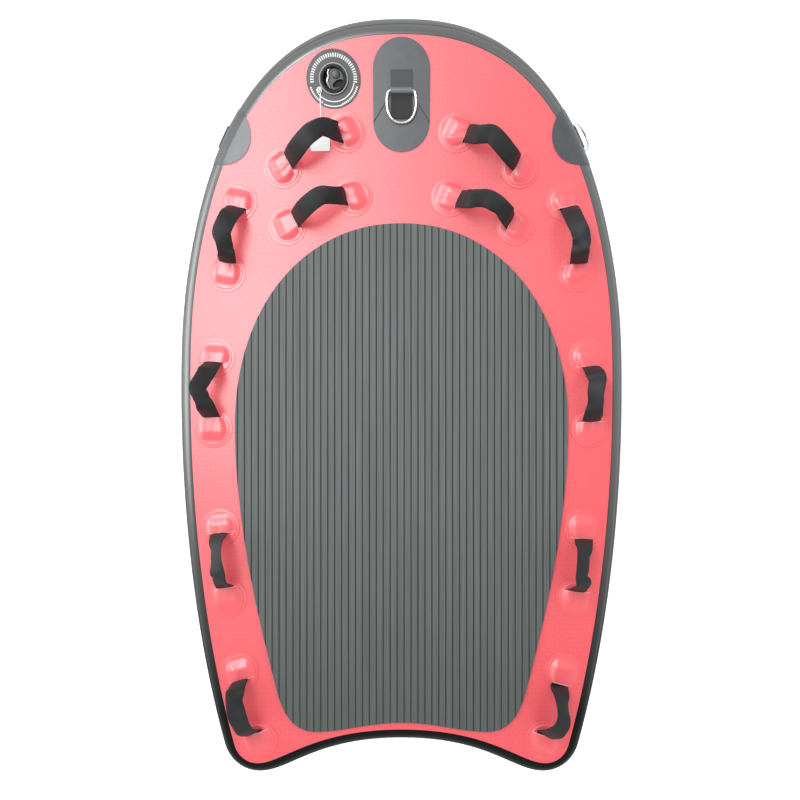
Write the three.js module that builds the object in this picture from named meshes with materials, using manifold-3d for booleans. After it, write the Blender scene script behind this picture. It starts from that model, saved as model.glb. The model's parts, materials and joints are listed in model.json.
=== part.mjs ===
// An inflatable rescue board: a drop-stitch hull with an upturned nose and a scooped tail,
// a traction pad, twelve grab handles, three towing rings and an inflation valve.
// Millimetres. X points to the right of a rider lying head first, Y to the nose, Z up.
// The hull is drawn flat, in x and station (the distance along it), and then bent up at the nose.

import * as THREE from "three";
import { mergeVertices } from "three/addons/utils/BufferGeometryUtils.js";
import Module from "manifold-3d";

const wasm = await Module();
wasm.setup();

// Hull
const deckHalfWidth = 507;
const noseReach = 851;
const widestShare = 0.0588;
const noseFullness = 2.42;
const sideTaperShare = 1.648;
const tailReach = 858;
const tailCornerLength = 43;
const tailScoop = 81;
const lobeSpacingShare = 0.682;
const lobeHoldShare = 0.118;
const scoopHoldShare = 0.424;
const boardThickness = 150;
const railBulge = 38;
const rockerLength = 506;
const rockerRadius = 1325;
const rockerStep = 43;
const skinThickness = 1.2;
const clearance = 0.3;
const overrun = 5;
const mergeDistance = 0.0001;
const cornerHold = 26;
const lapWidth = 30;
const threadSpacing = 150;
const threadRadius = 2;
const threadMargin = 70;

// Traction pad
const padSideMargin = 108;
const padTopSetback = 414;
const padWidestDrop = 100;
const padFullness = 2.13;
const padThickness = 5;
const padSideHold = 250;
const padTailMargin = 77;
const padTailScoop = 22;
const padSideTurnShares = [0.827, -0.717];
const padSideEndShares = [0.749, -0.873];
const padCornerInShares = [0.714, -0.941];
const padCornerOutShares = [0.657, -1];
const padTailEndShares = [0.511, -1];
const padTailHoldShare = 0.351;
const padScoopHoldShare = 0.2;

// Handles
const handleSpan = 172;
const mouthInset = 19;
const handleHeight = 83;
const strapWidth = 42;
const strapThickness = 6;
const tongueThickness = 2.6;
const tongueInset = 22;
const tongueWidth = 38;
const patchRadius = 46;
const discRadius = 38;
const patchLayer = 1;
const hoodWidth = 52;
const hoodHeight = 9;
const hoodBack = 30;
const bowHandleShare = 0.1861;
const bowHandleSetback = 246;
const chestHandleShare = 0.384;
const chestHandleSetback = 385.5;

// Towing rings and the patches that hold them
const towPatchHalfWidth = 66;
const nosePatchFrontGap = 5;
const nosePatchLength = 245;
const webbingHalfWidth = 25;
const webbingThickness = 2;
const ringHalfWidth = 34;
const ringReach = 69;
const ringWireRadius = 3;
const barPlay = 1.2;
const webbingDrop = 6;
const noseBarSetback = 116;
const webbingFrontReach = 44;
const webbingRearReach = 61;
const overlaySideReach = 70;
const overlayMiddleReach = 11;
const noseRingTilt = 2.2;
const shoulderShare = 0.7344;
const shoulderPatchInset = 38;
const shoulderWebbingReach = 42;
const rightRingDroop = 59;
const leftRingDroop = 90;

// Inflation valve
const valveGap = 28;
const valveSetback = 91.5;
const valvePatchRadius = 63;
const valveFlangeRadius = 33;
const valveFlangeHeight = 5;
const valveNeckRadius = 28;
const valveBoreRadius = 25;
const valveBoreDepth = 10;
const valveThroatRadius = 15;
const valveSeatDepth = 16;
const valveChamberRadius = 24;
const valveDepth = 46;
const valveFloorThickness = 3;
const valveLift = 0.9;
const nutRadius = 36;
const nutHeight = 8;
const poppetRadius = 19;
const poppetThickness = 3;
const poppetButtonRadius = 7;
const poppetStemRadius = 3;
const poppetStemReach = 5;
const springRadius = 6;
const springWireRadius = 0.8;
const springTurns = 5;
const capRimRadius = 29;
const capRimThickness = 2.4;
const capWall = 2.2;
const capFloorThickness = 3;
const gripWidth = 9;
const sealThickness = 1.4;
const sealWidth = 7;
const ventRadius = 4.5;
const ventPlaceShare = 0.66;

// Swing tag
const tagWidth = 46;
const tagLength = 55;
const tagThickness = 0.6;
const tagX = -192;
const stringRadius = 0.9;

// Steps and shares of the outlines
const tipShares = [0, 0.28, 0.52, 0.72, 0.88];
const stationEndShare = 0.5;
const shoulderSteps = 4;
const sideSteps = 8;
const cornerSteps = 4;
const scoopSteps = 7;
const railSteps = 6;
const padArchSteps = 6;
const padSideSteps = 6;
const turnSides = 24;
const threadSides = 4;
const patchSides = 18;
const strapSteps = 9;
const strapStartTurn = Math.PI / 20;
const hoodAlongShares = [0, 0.45, 1];
const hoodRiseShares = [0.62, 0.85, 1];
const hoodAcrossShares = [-1, -0.8, 0.8, 1];
const hoodCrownShares = [0.15, 1, 1, 0.15];
const ringBowSteps = 12;
const ringCornerSteps = 3;
const wireSides = 6;
const humpSteps = 6;
const straightSteps = 3;
const towEndSteps = 5;
const overlayFlatShare = 0.38;
const overlayMidShare = 0.5;
const shoulderDeckSteps = 2;
const shoulderWallSteps = 6;
const shoulderColumns = 4;
const patchTipShare = 0.35;
const ventCount = 4;
const ventSides = 8;
const springTurnSteps = 8;
const springSides = 5;
const stringSteps = 24;
const stringSides = 8;
const tagBendShare = 0.25;

// Handles: the shares place them on the deck's half width and on the nose's or tail's reach.
// Headings are in degrees from the nose, and the leans of the crests are shares of the height.
const besideNose = (outShare, alongShare) => {
  return { out: deckHalfWidth * outShare, station: noseReach * alongShare };
};
const besideTail = (outShare, alongShare) => {
  return { out: deckHalfWidth * outShare, station: -tailReach * alongShare };
};
const handlePlaces = [
  {
    name: "bow_handle",
    out: towPatchHalfWidth + patchRadius + deckHalfWidth * bowHandleShare,
    station: noseReach - bowHandleSetback,
    heading: 62,
    leftLeanShares: [0.39, 0.11],
    rightLeanShares: [-0.1, -0.07],
  },
  {
    name: "chest_handle",
    out: deckHalfWidth * chestHandleShare,
    station: noseReach - chestHandleSetback,
    heading: 67,
    leftLeanShares: [0.06, -0.02],
    rightLeanShares: [-0.02, -0.05],
  },
  {
    name: "shoulder_handle",
    ...besideNose(0.8, 0.475),
    heading: 10,
    leftLeanShares: [-0.05, -0.29],
    rightLeanShares: [-0.04, -0.33],
  },
  {
    name: "waist_handle",
    ...besideNose(0.886, 0.037),
    heading: 2,
    leftLeanShares: [-0.11, -0.07],
    rightLeanShares: [-0.11, 0.19],
  },
  {
    name: "hip_handle",
    ...besideTail(0.84, 0.439),
    heading: -6,
    leftLeanShares: [0.07, 0.02],
    rightLeanShares: [-0.14, -0.06],
  },
  {
    name: "tail_handle",
    ...besideTail(0.723, 0.839),
    heading: -15,
    leftLeanShares: [-0.19, 0.37],
    rightLeanShares: [0.07, 0.17],
  },
];

// The string's route: x, station and height above the deck.
const stringRoute = [
  [-185, 740, 2.9],
  [-188, 730, 2.7],
  [-189, 716, 2.7],
  [-189, 703, 2.7],
  [-189, 692, 1.6],
  [-190, 676, 1.4],
  [-191, 659, 1.6],
];

// Materials
function paint(color, roughness, metalness = 0) {
  return new THREE.MeshStandardMaterial({ color, roughness, metalness });
}
const deckRed = paint(0xfa6a74, 0.45);
const railGrey = paint(0x6f7372, 0.5);
const patchGrey = paint(0x7d828a, 0.55);
const padGrey = paint(0x6b7272, 0.9);
const strapBlack = paint(0x3a3538, 0.85);
const webbingGrey = paint(0x55585c, 0.8);
const steel = paint(0xd8d8d8, 0.2, 1);
const valveBlack = paint(0x3b3d3f, 0.4);
const clothWhite = paint(0xe8e8e4, 0.8);
const cardWhite = paint(0xf6f6f6, 0.7);

const widestStation = noseReach * widestShare;
const rockerStart = noseReach - rockerLength;
const sideTaperLength = tailReach * sideTaperShare;
const sideEndStation = tailCornerLength - tailReach;
const noseBarStation = noseReach - noseBarSetback;
const shoulderStation = noseReach * shoulderShare;
const valveX = -(towPatchHalfWidth + valveGap + valvePatchRadius);
const valveStation = noseReach - valveSetback;

// Bends the flat hull: a station is a distance along the deck, and height is measured from
// the bottom of the board.
function rocker(x, station, height) {
  if (station <= rockerStart) return new THREE.Vector3(x, station, height);
  const turn = (station - rockerStart) / rockerRadius;
  const radius = rockerRadius + boardThickness - height;
  const y = rockerStart + radius * Math.sin(turn);
  const z = boardThickness + rockerRadius - radius * Math.cos(turn);
  return new THREE.Vector3(x, y, z);
}

// A frame on the deck with Z along the deck's normal.
function deckFrame(x, station, height) {
  const turn = Math.max(0, (station - rockerStart) / rockerRadius);
  const frame = new THREE.Matrix4().makeRotationX(turn);
  return frame.setPosition(rocker(x, station, boardThickness + height));
}

// A closed body from corner points and faces, turned so that its faces point out.
function body(points, faces) {
  let volume = 0;
  for (const [a, b, c] of faces) {
    volume += points[a].dot(new THREE.Vector3().crossVectors(points[b], points[c]));
  }
  const index = [];
  for (const [a, b, c] of faces) index.push(...(volume > 0 ? [a, b, c] : [a, c, b]));
  const geometry = new THREE.BufferGeometry().setFromPoints(points);
  return geometry.setIndex(index);
}

// Of two diagonals, the flatter and shorter one follows the bend more closely.
const steepness = (a, b) => a.distanceTo(b) + Math.abs(a.z - b.z);

// Joins rings of equal count into a skin. With loop set, the last ring meets the first,
// and otherwise the faces that cap gives cover both ends.
function loft(rings, { loop = false, cap = null } = {}) {
  const points = rings.flat();
  const count = rings[0].length;
  const faces = [];
  const last = loop ? rings.length : rings.length - 1;
  for (let k = 0; k < last; k++) {
    for (let i = 0; i < count; i++) {
      const next = (i + 1) % count;
      const [a, b] = [k * count + i, k * count + next];
      const farRing = ((k + 1) % rings.length) * count;
      const [d, c] = [farRing + i, farRing + next];
      const straight = steepness(points[a], points[c]) <= steepness(points[b], points[d]);
      if (straight) faces.push([a, b, c], [a, c, d]);
      else faces.push([a, b, d], [b, c, d]);
    }
  }
  if (!loop) {
    const top = (rings.length - 1) * count;
    for (const [a, b, c] of cap) faces.push([a, c, b], [top + a, top + b, top + c]);
  }
  return body(points, faces);
}

// A slab over a grid of u and v: place gives each corner's point, on side 0 or 1.
function slab(columns, rows, place) {
  const points = [];
  const faces = [];
  const at = (i, j, side) => (side * (rows + 1) + j) * (columns + 1) + i;
  for (let side = 0; side < 2; side++)
    for (let j = 0; j <= rows; j++)
      for (let i = 0; i <= columns; i++) points.push(place(i, j, side));
  const quad = (a, b, c, d) => faces.push([a, b, c], [a, c, d]);
  for (let j = 0; j < rows; j++)
    for (let i = 0; i < columns; i++) {
      quad(at(i, j, 0), at(i, j + 1, 0), at(i + 1, j + 1, 0), at(i + 1, j, 0));
      quad(at(i, j, 1), at(i + 1, j, 1), at(i + 1, j + 1, 1), at(i, j + 1, 1));
    }
  for (let i = 0; i < columns; i++) {
    quad(at(i, 0, 0), at(i + 1, 0, 0), at(i + 1, 0, 1), at(i, 0, 1));
    quad(at(i, rows, 0), at(i, rows, 1), at(i + 1, rows, 1), at(i + 1, rows, 0));
  }
  for (let j = 0; j < rows; j++) {
    quad(at(0, j, 0), at(0, j, 1), at(0, j + 1, 1), at(0, j + 1, 0));
    quad(at(columns, j, 0), at(columns, j + 1, 0), at(columns, j + 1, 1), at(columns, j, 1));
  }
  return body(points, faces);
}

// A turned piece about Z. A profile that starts off the axis is a ring and closes on itself.
function turned(profile, segments = turnSides) {
  const points = profile.map(([r, z]) => new THREE.Vector2(r, z));
  if (points[0].x > 0) points.push(points[0]);
  return new THREE.LatheGeometry(points, segments).rotateX(Math.PI / 2);
}

// Booleans
function solidOf(geometry) {
  const bare = geometry.index ? geometry.toNonIndexed() : geometry.clone();
  bare.deleteAttribute("normal");
  bare.deleteAttribute("uv");
  const merged = mergeVertices(bare, mergeDistance);
  const vertProperties = merged.attributes.position.array;
  const triVerts = new Uint32Array(merged.index.array);
  const solid = new wasm.Manifold(new wasm.Mesh({ numProp: 3, vertProperties, triVerts }));
  if (solid.volume() > 0) return solid;
  const flipped = triVerts.map((_, i) => triVerts[i - (i % 3) + ((3 - (i % 3)) % 3)]);
  return new wasm.Manifold(new wasm.Mesh({ numProp: 3, vertProperties, triVerts: flipped }));
}

function geometryOf(solid) {
  const mesh = solid.getMesh();
  const geometry = new THREE.BufferGeometry();
  geometry.setAttribute("position", new THREE.BufferAttribute(mesh.vertProperties, 3));
  return geometry.setIndex(new THREE.BufferAttribute(mesh.triVerts, 1));
}

function joined(first, ...others) {
  return geometryOf(others.reduce((sum, g) => sum.add(solidOf(g)), solidOf(first)));
}

function cut(first, ...tools) {
  return geometryOf(tools.reduce((rest, g) => rest.subtract(solidOf(g)), solidOf(first)));
}

const board = new THREE.Group();

function addPiece(name, geometry, material, parent = board) {
  const mesh = new THREE.Mesh(geometry, material);
  mesh.name = name;
  parent.add(mesh);
  return mesh;
}

// The deck's edge
function noseHalfWidth(station) {
  const share = Math.max(0, station - widestStation) / (noseReach - widestStation);
  return deckHalfWidth * (1 - share ** noseFullness) ** (1 / noseFullness);
}

function noseStation(x) {
  const share = (1 - (x / deckHalfWidth) ** noseFullness) ** (1 / noseFullness);
  return widestStation + (noseReach - widestStation) * share;
}

function sideHalfWidth(station) {
  return deckHalfWidth * Math.sqrt(1 - ((widestStation - station) / sideTaperLength) ** 2);
}

const flat = (x, station) => new THREE.Vector2(x, station);

function curvePoints(corners, count) {
  const curve = new THREE.CubicBezierCurve(...corners);
  return curve.getPoints(count).slice(1);
}

// Stations of the bend below a given end, from the far one down to where the bend starts.
function bendStations(end) {
  const stations = [];
  const last = end - rockerStep * stationEndShare;
  for (let s = rockerStart; s < last; s += rockerStep) stations.unshift(s);
  return stations;
}

// The right half of an outline, mirrored to the left: the loop runs clockwise from the nose.
function mirroredLoop(half) {
  const left = half.slice(1, -1).reverse();
  return [...half, ...left.map((p) => flat(-p.x, p.y))];
}

const deckStations = bendStations(noseReach);
const deckBend = tipShares.length + deckStations.length - 1;

function deckLoop() {
  const tip = noseHalfWidth(deckStations[0]);
  const half = tipShares.map((share) => flat(tip * share, noseStation(tip * share)));
  for (const s of deckStations) half.push(flat(noseHalfWidth(s), s));
  for (let k = 1; k <= shoulderSteps; k++) {
    const s = rockerStart + ((widestStation - rockerStart) * k) / shoulderSteps;
    half.push(flat(noseHalfWidth(s), s));
  }
  for (let k = 1; k <= sideSteps; k++) {
    const s = widestStation + ((sideEndStation - widestStation) * k) / sideSteps;
    half.push(flat(sideHalfWidth(s), s));
  }
  const sideEnd = half[half.length - 1];
  const slope = flat(sideHalfWidth(sideEndStation - overrun) - sideEnd.x, -overrun).normalize();
  const lobe = flat(deckHalfWidth * lobeSpacingShare, -tailReach);
  half.push(...curvePoints([
    sideEnd,
    sideEnd.clone().addScaledVector(slope, cornerHold),
    flat(lobe.x + cornerHold, lobe.y),
    lobe,
  ], cornerSteps));
  const scoop = tailScoop - tailReach;
  half.push(...curvePoints([
    lobe,
    flat(lobe.x - deckHalfWidth * lobeHoldShare, lobe.y),
    flat(deckHalfWidth * scoopHoldShare, scoop),
    flat(0, scoop),
  ], scoopSteps));
  return mirroredLoop(half);
}

// Moves a clockwise loop outwards by a distance.
function offsetLoop(loop, distance) {
  const out = (a, b) => flat(a.y - b.y, b.x - a.x).normalize();
  return loop.map((p, i) => {
    const first = out(loop[(i + loop.length - 1) % loop.length], p);
    const second = out(p, loop[(i + 1) % loop.length]);
    const mitre = first.clone().add(second).divideScalar(1 + first.dot(second));
    return p.clone().addScaledVector(mitre, distance);
  });
}

// Faces over a loop: strips across where it bends up, and ears in the flat rest.
function capOf(loop, bendIndex) {
  const count = loop.length;
  const faces = [];
  for (let i = 0; i < bendIndex; i++) {
    faces.push([i, i + 1, count - i - 1]);
    if (i > 0) faces.push([i, count - i - 1, count - i]);
  }
  const rest = loop.slice(bendIndex, count - bendIndex + 1);
  for (const face of THREE.ShapeUtils.triangulateShape(rest, [])) {
    faces.push(face.map((corner) => corner + bendIndex));
  }
  return faces.map((face) => {
    const [a, b, c] = face.map((corner) => loop[corner]);
    const clockwise = b.clone().sub(a).cross(c.clone().sub(a)) < 0;
    return clockwise ? face : [face[0], face[2], face[1]];
  });
}

const raised = (loop, height) => loop.map((p) => rocker(p.x, p.y, height));

function sheet(loop, bendIndex, top, thickness) {
  const rings = [raised(loop, top), raised(loop, top - thickness)];
  return loft(rings, { cap: capOf(loop, bendIndex) });
}

const deckEdge = deckLoop();
const wallTop = boardThickness - skinThickness - clearance;
const wallHalfHeight = wallTop - boardThickness / 2;

// The wall's section: a lap under the deck, half an ellipse and a lap over the bottom.
function wallProfile(inset) {
  const halfHeight = wallHalfHeight - inset;
  const middle = boardThickness / 2;
  const profile = [{ offset: -lapWidth, height: middle + halfHeight }];
  for (let k = 0; k <= railSteps; k++) {
    const turn = Math.PI / 2 - (Math.PI * k) / railSteps;
    const offset = (railBulge - inset) * Math.cos(turn);
    profile.push({ offset, height: middle + halfHeight * Math.sin(turn) });
  }
  profile.push({ offset: -lapWidth, height: middle - halfHeight });
  return profile;
}

function sideWall() {
  const profile = [...wallProfile(0), ...wallProfile(skinThickness).reverse()];
  const rings = profile.map(({ offset, height }) => raised(offsetLoop(deckEdge, offset), height));
  return loft(rings, { loop: true });
}

// A round bar from one point to another.
function strut(from, to, radius, sides) {
  const run = to.clone().sub(from);
  const bar = new THREE.CylinderGeometry(radius, radius, run.length(), sides);
  const turn = new THREE.Quaternion();
  turn.setFromUnitVectors(new THREE.Vector3(0, 1, 0), run.clone().normalize());
  const middle = from.clone().add(to).divideScalar(2);
  return bar.applyQuaternion(turn).translate(middle.x, middle.y, middle.z);
}

const valveFrame = deckFrame(valveX, valveStation, 0);

function valveHole() {
  const bar = new THREE.CylinderGeometry(
    valveNeckRadius + clearance,
    valveNeckRadius + clearance,
    valveDepth,
    turnSides,
  );
  return bar.rotateX(Math.PI / 2).applyMatrix4(valveFrame);
}

// Two base cloths held parallel by bundles of drop-stitch thread.
function dropStitchCore() {
  const loop = offsetLoop(deckEdge, -lapWidth - clearance);
  const low = boardThickness - wallTop;
  const topCloth = sheet(loop, deckBend, wallTop, skinThickness);
  const bottomCloth = sheet(loop, deckBend, low + skinThickness, skinThickness);
  const threads = [];
  const first = -tailReach + tailScoop + threadMargin;
  const rows = Math.floor((noseReach - threadMargin - first) / threadSpacing);
  for (let row = 0; row <= rows; row++) {
    const station = first + row * threadSpacing;
    const halfWidth = station > widestStation ? noseHalfWidth(station) : sideHalfWidth(station);
    const half = Math.floor((halfWidth - threadMargin) / threadSpacing);
    for (let column = -half; column <= half; column++) {
      const x = column * threadSpacing;
      const nearValve = Math.hypot(x - valveX, station - valveStation) < valvePatchRadius;
      if (nearValve) continue;
      const from = rocker(x, station, low + skinThickness / 2);
      const to = rocker(x, station, wallTop - skinThickness / 2);
      threads.push(strut(from, to, threadRadius, threadSides));
    }
  }
  return cut(joined(topCloth, bottomCloth, ...threads), valveHole());
}

const deckSheet = sheet(deckEdge, deckBend, boardThickness, skinThickness);
addPiece("drop_stitch_core", dropStitchCore(), clothWhite);
addPiece("side_wall", sideWall(), railGrey);
addPiece("deck_skin", cut(deckSheet, valveHole()), deckRed);
addPiece("bottom_skin", sheet(deckEdge, deckBend, skinThickness, skinThickness), railGrey);

// Traction pad
const padHalfWidth = deckHalfWidth - padSideMargin;
const padTailReach = tailReach - padTailMargin;
const padTopStation = noseReach - padTopSetback;
const padWidestStation = widestStation - padWidestDrop;

function padLoop() {
  const reach = padTopStation - padWidestStation;
  const halfWidth = (station) => {
    const share = Math.max(0, station - padWidestStation) / reach;
    return padHalfWidth * (1 - share ** padFullness) ** (1 / padFullness);
  };
  const stationAt = (x) => {
    const share = (1 - (x / padHalfWidth) ** padFullness) ** (1 / padFullness);
    return padWidestStation + reach * share;
  };
  const stations = bendStations(padTopStation);
  const tip = halfWidth(stations[0]);
  const half = tipShares.map((share) => flat(tip * share, stationAt(tip * share)));
  for (const s of stations) half.push(flat(halfWidth(s), s));
  for (let k = 1; k <= padArchSteps; k++) {
    const s = rockerStart + ((padWidestStation - rockerStart) * k) / padArchSteps;
    half.push(flat(halfWidth(s), s));
  }
  const place = ([x, y]) => flat(padHalfWidth * x, padTailReach * y);
  half.push(...curvePoints([
    flat(padHalfWidth, padWidestStation),
    flat(padHalfWidth, padWidestStation - padSideHold),
    place(padSideTurnShares),
    place(padSideEndShares),
  ], padSideSteps));
  half.push(...curvePoints([
    place(padSideEndShares),
    place(padCornerInShares),
    place(padCornerOutShares),
    place(padTailEndShares),
  ], cornerSteps));
  const middle = padTailScoop - padTailReach;
  half.push(...curvePoints([
    place(padTailEndShares),
    flat(padHalfWidth * padTailHoldShare, -padTailReach),
    flat(padHalfWidth * padScoopHoldShare, middle),
    flat(0, middle),
  ], cornerSteps));
  return { loop: mirroredLoop(half), bend: tipShares.length + stations.length - 1 };
}

const pad = padLoop();
const padTop = boardThickness + clearance + padThickness;
addPiece("traction_pad", sheet(pad.loop, pad.bend, padTop, padThickness), padGrey);

// Lays a piece drawn on a flat deck, with Z up from it, onto the bent one.
function laid(geometry, place) {
  const position = geometry.getAttribute("position");
  const point = new THREE.Vector3();
  for (let i = 0; i < position.count; i++) {
    point.fromBufferAttribute(position, i);
    const { x, y } = place(point.x, point.y);
    const bent = rocker(x, y, boardThickness + point.z);
    position.setXYZ(i, bent.x, bent.y, bent.z);
  }
  return geometry;
}

// Handles
const discTop = clearance + 2 * patchLayer;
const tongueBottom = discTop + clearance;
const tongueMiddle = tongueBottom + tongueThickness / 2;
const tongueHalfWidth = tongueWidth / 2;

// Two glued discs and a hood with a pocket, open towards the handle, for the strap's tongue.
function endPatch() {
  const discs = turned([
    [0, clearance],
    [patchRadius, clearance],
    [patchRadius, clearance + patchLayer],
    [discRadius, clearance + patchLayer],
    [discRadius, discTop],
    [0, discTop],
  ], patchSides);
  const hood = slab(hoodAcrossShares.length - 1, hoodAlongShares.length - 1, (i, j, side) => {
    const along = -hoodBack + (hoodBack + mouthInset) * hoodAlongShares[j];
    const rise = (hoodHeight - discTop) * hoodRiseShares[j] * hoodCrownShares[i];
    const height = side ? discTop + rise : discTop - patchLayer / 2;
    return new THREE.Vector3(along, (hoodWidth / 2) * hoodAcrossShares[i], height);
  });
  const length = tongueInset + clearance + mouthInset + overrun;
  const top = tongueBottom + tongueThickness + clearance;
  const bottom = discTop - clearance / 2;
  const pocket = new THREE.BoxGeometry(length, 2 * (tongueHalfWidth + clearance), top - bottom);
  const middle = (mouthInset + overrun - tongueInset - clearance) / 2;
  pocket.translate(middle, 0, (top + bottom) / 2);
  return cut(joined(discs, hood), pocket);
}

// A flattened six-sided section of a strap.
function strapSection(centre, tangent, across, halfWidth, halfThickness) {
  const out = new THREE.Vector3().crossVectors(across, tangent).normalize();
  const edge = halfWidth - halfThickness;
  const corners = [
    [halfWidth, 0],
    [edge, 1],
    [-edge, 1],
    [-halfWidth, 0],
    [-edge, -1],
    [edge, -1],
  ];
  return corners.map(([wide, high]) => {
    const point = centre.clone().addScaledVector(across, wide);
    return point.addScaledVector(out, high * halfThickness);
  });
}

const fan = (count) => {
  const faces = [];
  for (let i = 1; i < count - 1; i++) faces.push([0, i, i + 1]);
  return faces;
};

// A strap from tongue to tongue over the deck, along Y, with its crest moved aside by lean.
function strapGeometry(lean) {
  const end = handleSpan / 2;
  const foot = end - mouthInset - strapThickness;
  const stations = [];
  const addStation = (y, z, halfWidth, halfThickness, x = 0) => {
    stations.push({ centre: new THREE.Vector3(x, y, z), halfWidth, halfThickness });
  };
  const tongueEnd = end + tongueInset;
  const tongueTurn = end - mouthInset - clearance;
  const tongue = [tongueMiddle, tongueHalfWidth, tongueThickness / 2];
  addStation(-tongueEnd, ...tongue);
  addStation(-tongueTurn, ...tongue);
  const rise = handleHeight + strapThickness / 2 - tongueMiddle;
  for (let k = 0; k <= strapSteps; k++) {
    const turn = strapStartTurn + ((Math.PI - 2 * strapStartTurn) * k) / strapSteps;
    const swing = Math.sin(turn);
    const shift = swing ** 2;
    const y = -foot * Math.cos(turn) + lean.y * shift;
    addStation(y, tongueMiddle + rise * swing, strapWidth / 2, strapThickness / 2, lean.x * shift);
  }
  addStation(tongueTurn, ...tongue);
  addStation(tongueEnd, ...tongue);
  const across = new THREE.Vector3(1, 0, 0);
  const rings = stations.map(({ centre, halfWidth, halfThickness }, k) => {
    const before = stations[Math.max(0, k - 1)].centre;
    const after = stations[Math.min(stations.length - 1, k + 1)].centre;
    const tangent = after.clone().sub(before);
    return strapSection(centre, tangent, across, halfWidth, halfThickness);
  });
  return loft(rings, { cap: fan(rings[0].length) });
}

function addHandle(name, side, place) {
  const centre = flat(side * place.out, place.station);
  const heading = THREE.MathUtils.degToRad(place.heading) * side;
  const along = flat(-Math.sin(heading), Math.cos(heading));
  const across = flat(along.y, -along.x);
  const [leanX, leanY] = side > 0 ? place.rightLeanShares : place.leftLeanShares;
  const lean = flat(leanX, leanY).multiplyScalar(handleHeight);
  const strapPlace = (x, y) => centre.clone().addScaledVector(across, x).addScaledVector(along, y);
  const strap = strapGeometry(flat(lean.dot(across), lean.dot(along)));
  addPiece(name + "_strap", laid(strap, strapPlace), strapBlack);
  for (const [end, way] of [["front", 1], ["rear", -1]]) {
    const middle = strapPlace(0, (way * handleSpan) / 2);
    const patchPlace = (x, y) => {
      return middle.clone().addScaledVector(along, -way * x).addScaledVector(across, way * y);
    };
    addPiece(name + "_" + end + "_patch", laid(endPatch(), patchPlace), deckRed);
  }
}

for (const place of handlePlaces) {
  addHandle("left_" + place.name, -1, place);
  addHandle("right_" + place.name, 1, place);
}

// Towing rings
// A closed wire D in the XY plane: its bar lies on X, and its bow reaches along +Y.
function ringGeometry() {
  const path = [];
  const legEnd = ringReach - ringHalfWidth;
  for (let k = 0; k <= ringBowSteps; k++) {
    const turn = (Math.PI * k) / ringBowSteps;
    path.push(flat(ringHalfWidth * Math.cos(turn), legEnd + ringHalfWidth * Math.sin(turn)));
  }
  const corner = ringHalfWidth - webbingHalfWidth - 2 * barPlay;
  for (const side of [-1, 1]) {
    for (let k = 0; k <= ringCornerSteps; k++) {
      const share = side < 0 ? k / ringCornerSteps : 1 - k / ringCornerSteps;
      const turn = (share * Math.PI) / 2;
      const x = side * (ringHalfWidth - corner + corner * Math.cos(turn));
      path.push(flat(x, corner - corner * Math.sin(turn)));
    }
  }
  const rings = path.map((p, i) => {
    const before = path[(i + path.length - 1) % path.length];
    const after = path[(i + 1) % path.length];
    const out = flat(after.y - before.y, before.x - after.x).normalize();
    const ring = [];
    for (let k = 0; k < wireSides; k++) {
      const turn = (2 * Math.PI * (k + 1 / 2)) / wireSides;
      const wide = ringWireRadius * Math.cos(turn);
      const high = ringWireRadius * Math.sin(turn);
      ring.push(new THREE.Vector3(p.x + out.x * wide, p.y + out.y * wide, high));
    }
    return ring;
  });
  return loft(rings, { loop: true });
}

function straightPath(from, to) {
  const path = [];
  for (let k = 0; k <= straightSteps; k++) {
    const share = k / straightSteps;
    path.push([from[0] + (to[0] - from[0]) * share, from[1] + (to[1] - from[1]) * share]);
  }
  return path;
}

// The middle line of webbing that runs over a ring's bar: how far along, and how high.
function humpPath(front, rear, bar) {
  const radius = ringWireRadius + barPlay + webbingThickness / 2;
  const lift = [-overlayMiddleReach - webbingThickness, front[1]];
  const drop = [lift[0] - webbingDrop, rear[1]];
  const path = [...straightPath(rear, drop), lift];
  for (let k = 0; k <= humpSteps; k++) {
    const turn = Math.PI - (Math.PI * k) / humpSteps;
    path.push([radius * Math.cos(turn), bar + radius * Math.sin(turn)]);
  }
  path.push(...straightPath([radius + webbingThickness, front[1]], front));
  return path;
}

// Webbing along a middle line: place turns (across, along, height) into a point.
function webbing(path, place) {
  return slab(2, path.length - 1, (i, j, side) => {
    const [beforeAlong, beforeHigh] = path[Math.max(0, j - 1)];
    const [afterAlong, afterHigh] = path[Math.min(path.length - 1, j + 1)];
    const tangent = flat(afterAlong - beforeAlong, afterHigh - beforeHigh).normalize();
    const shift = (side ? 1 : -1) * (webbingThickness / 2);
    const along = path[j][0] - tangent.y * shift;
    const height = path[j][1] + tangent.x * shift;
    return place((i - 1) * webbingHalfWidth, along, height);
  });
}

// Half widths of a plate with round ends, from one end to the other.
function roundEndRows(low, high, middles) {
  const rows = [];
  const radius = towPatchHalfWidth;
  for (let k = 1; k <= towEndSteps; k++) {
    const turn = (Math.PI / 2) * (k / towEndSteps);
    rows.push({ at: low + radius * (1 - Math.cos(turn)), half: radius * Math.sin(turn) });
  }
  for (const at of middles) {
    if (at > low + radius + clearance && at < high - radius - clearance) {
      rows.push({ at, half: radius });
    }
  }
  const ends = rows.slice(0, towEndSteps).map(({ at, half }) => ({ at: low + high - at, half }));
  return [...rows, ...ends.reverse()];
}

const onDeck = (x, station, height) => rocker(x, station, boardThickness + height);
const nosePatchHigh = noseReach - nosePatchFrontGap;
const nosePatchLow = nosePatchHigh - nosePatchLength;
const risingStations = [...deckStations].reverse();
const noseRows = roundEndRows(nosePatchLow, nosePatchHigh, risingStations);

addPiece("nose_tow_patch", slab(1, noseRows.length - 1, (i, j, side) => {
  const { at, half } = noseRows[j];
  return onDeck((i ? 1 : -1) * half, at, clearance + side * patchLayer);
}), patchGrey);

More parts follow.
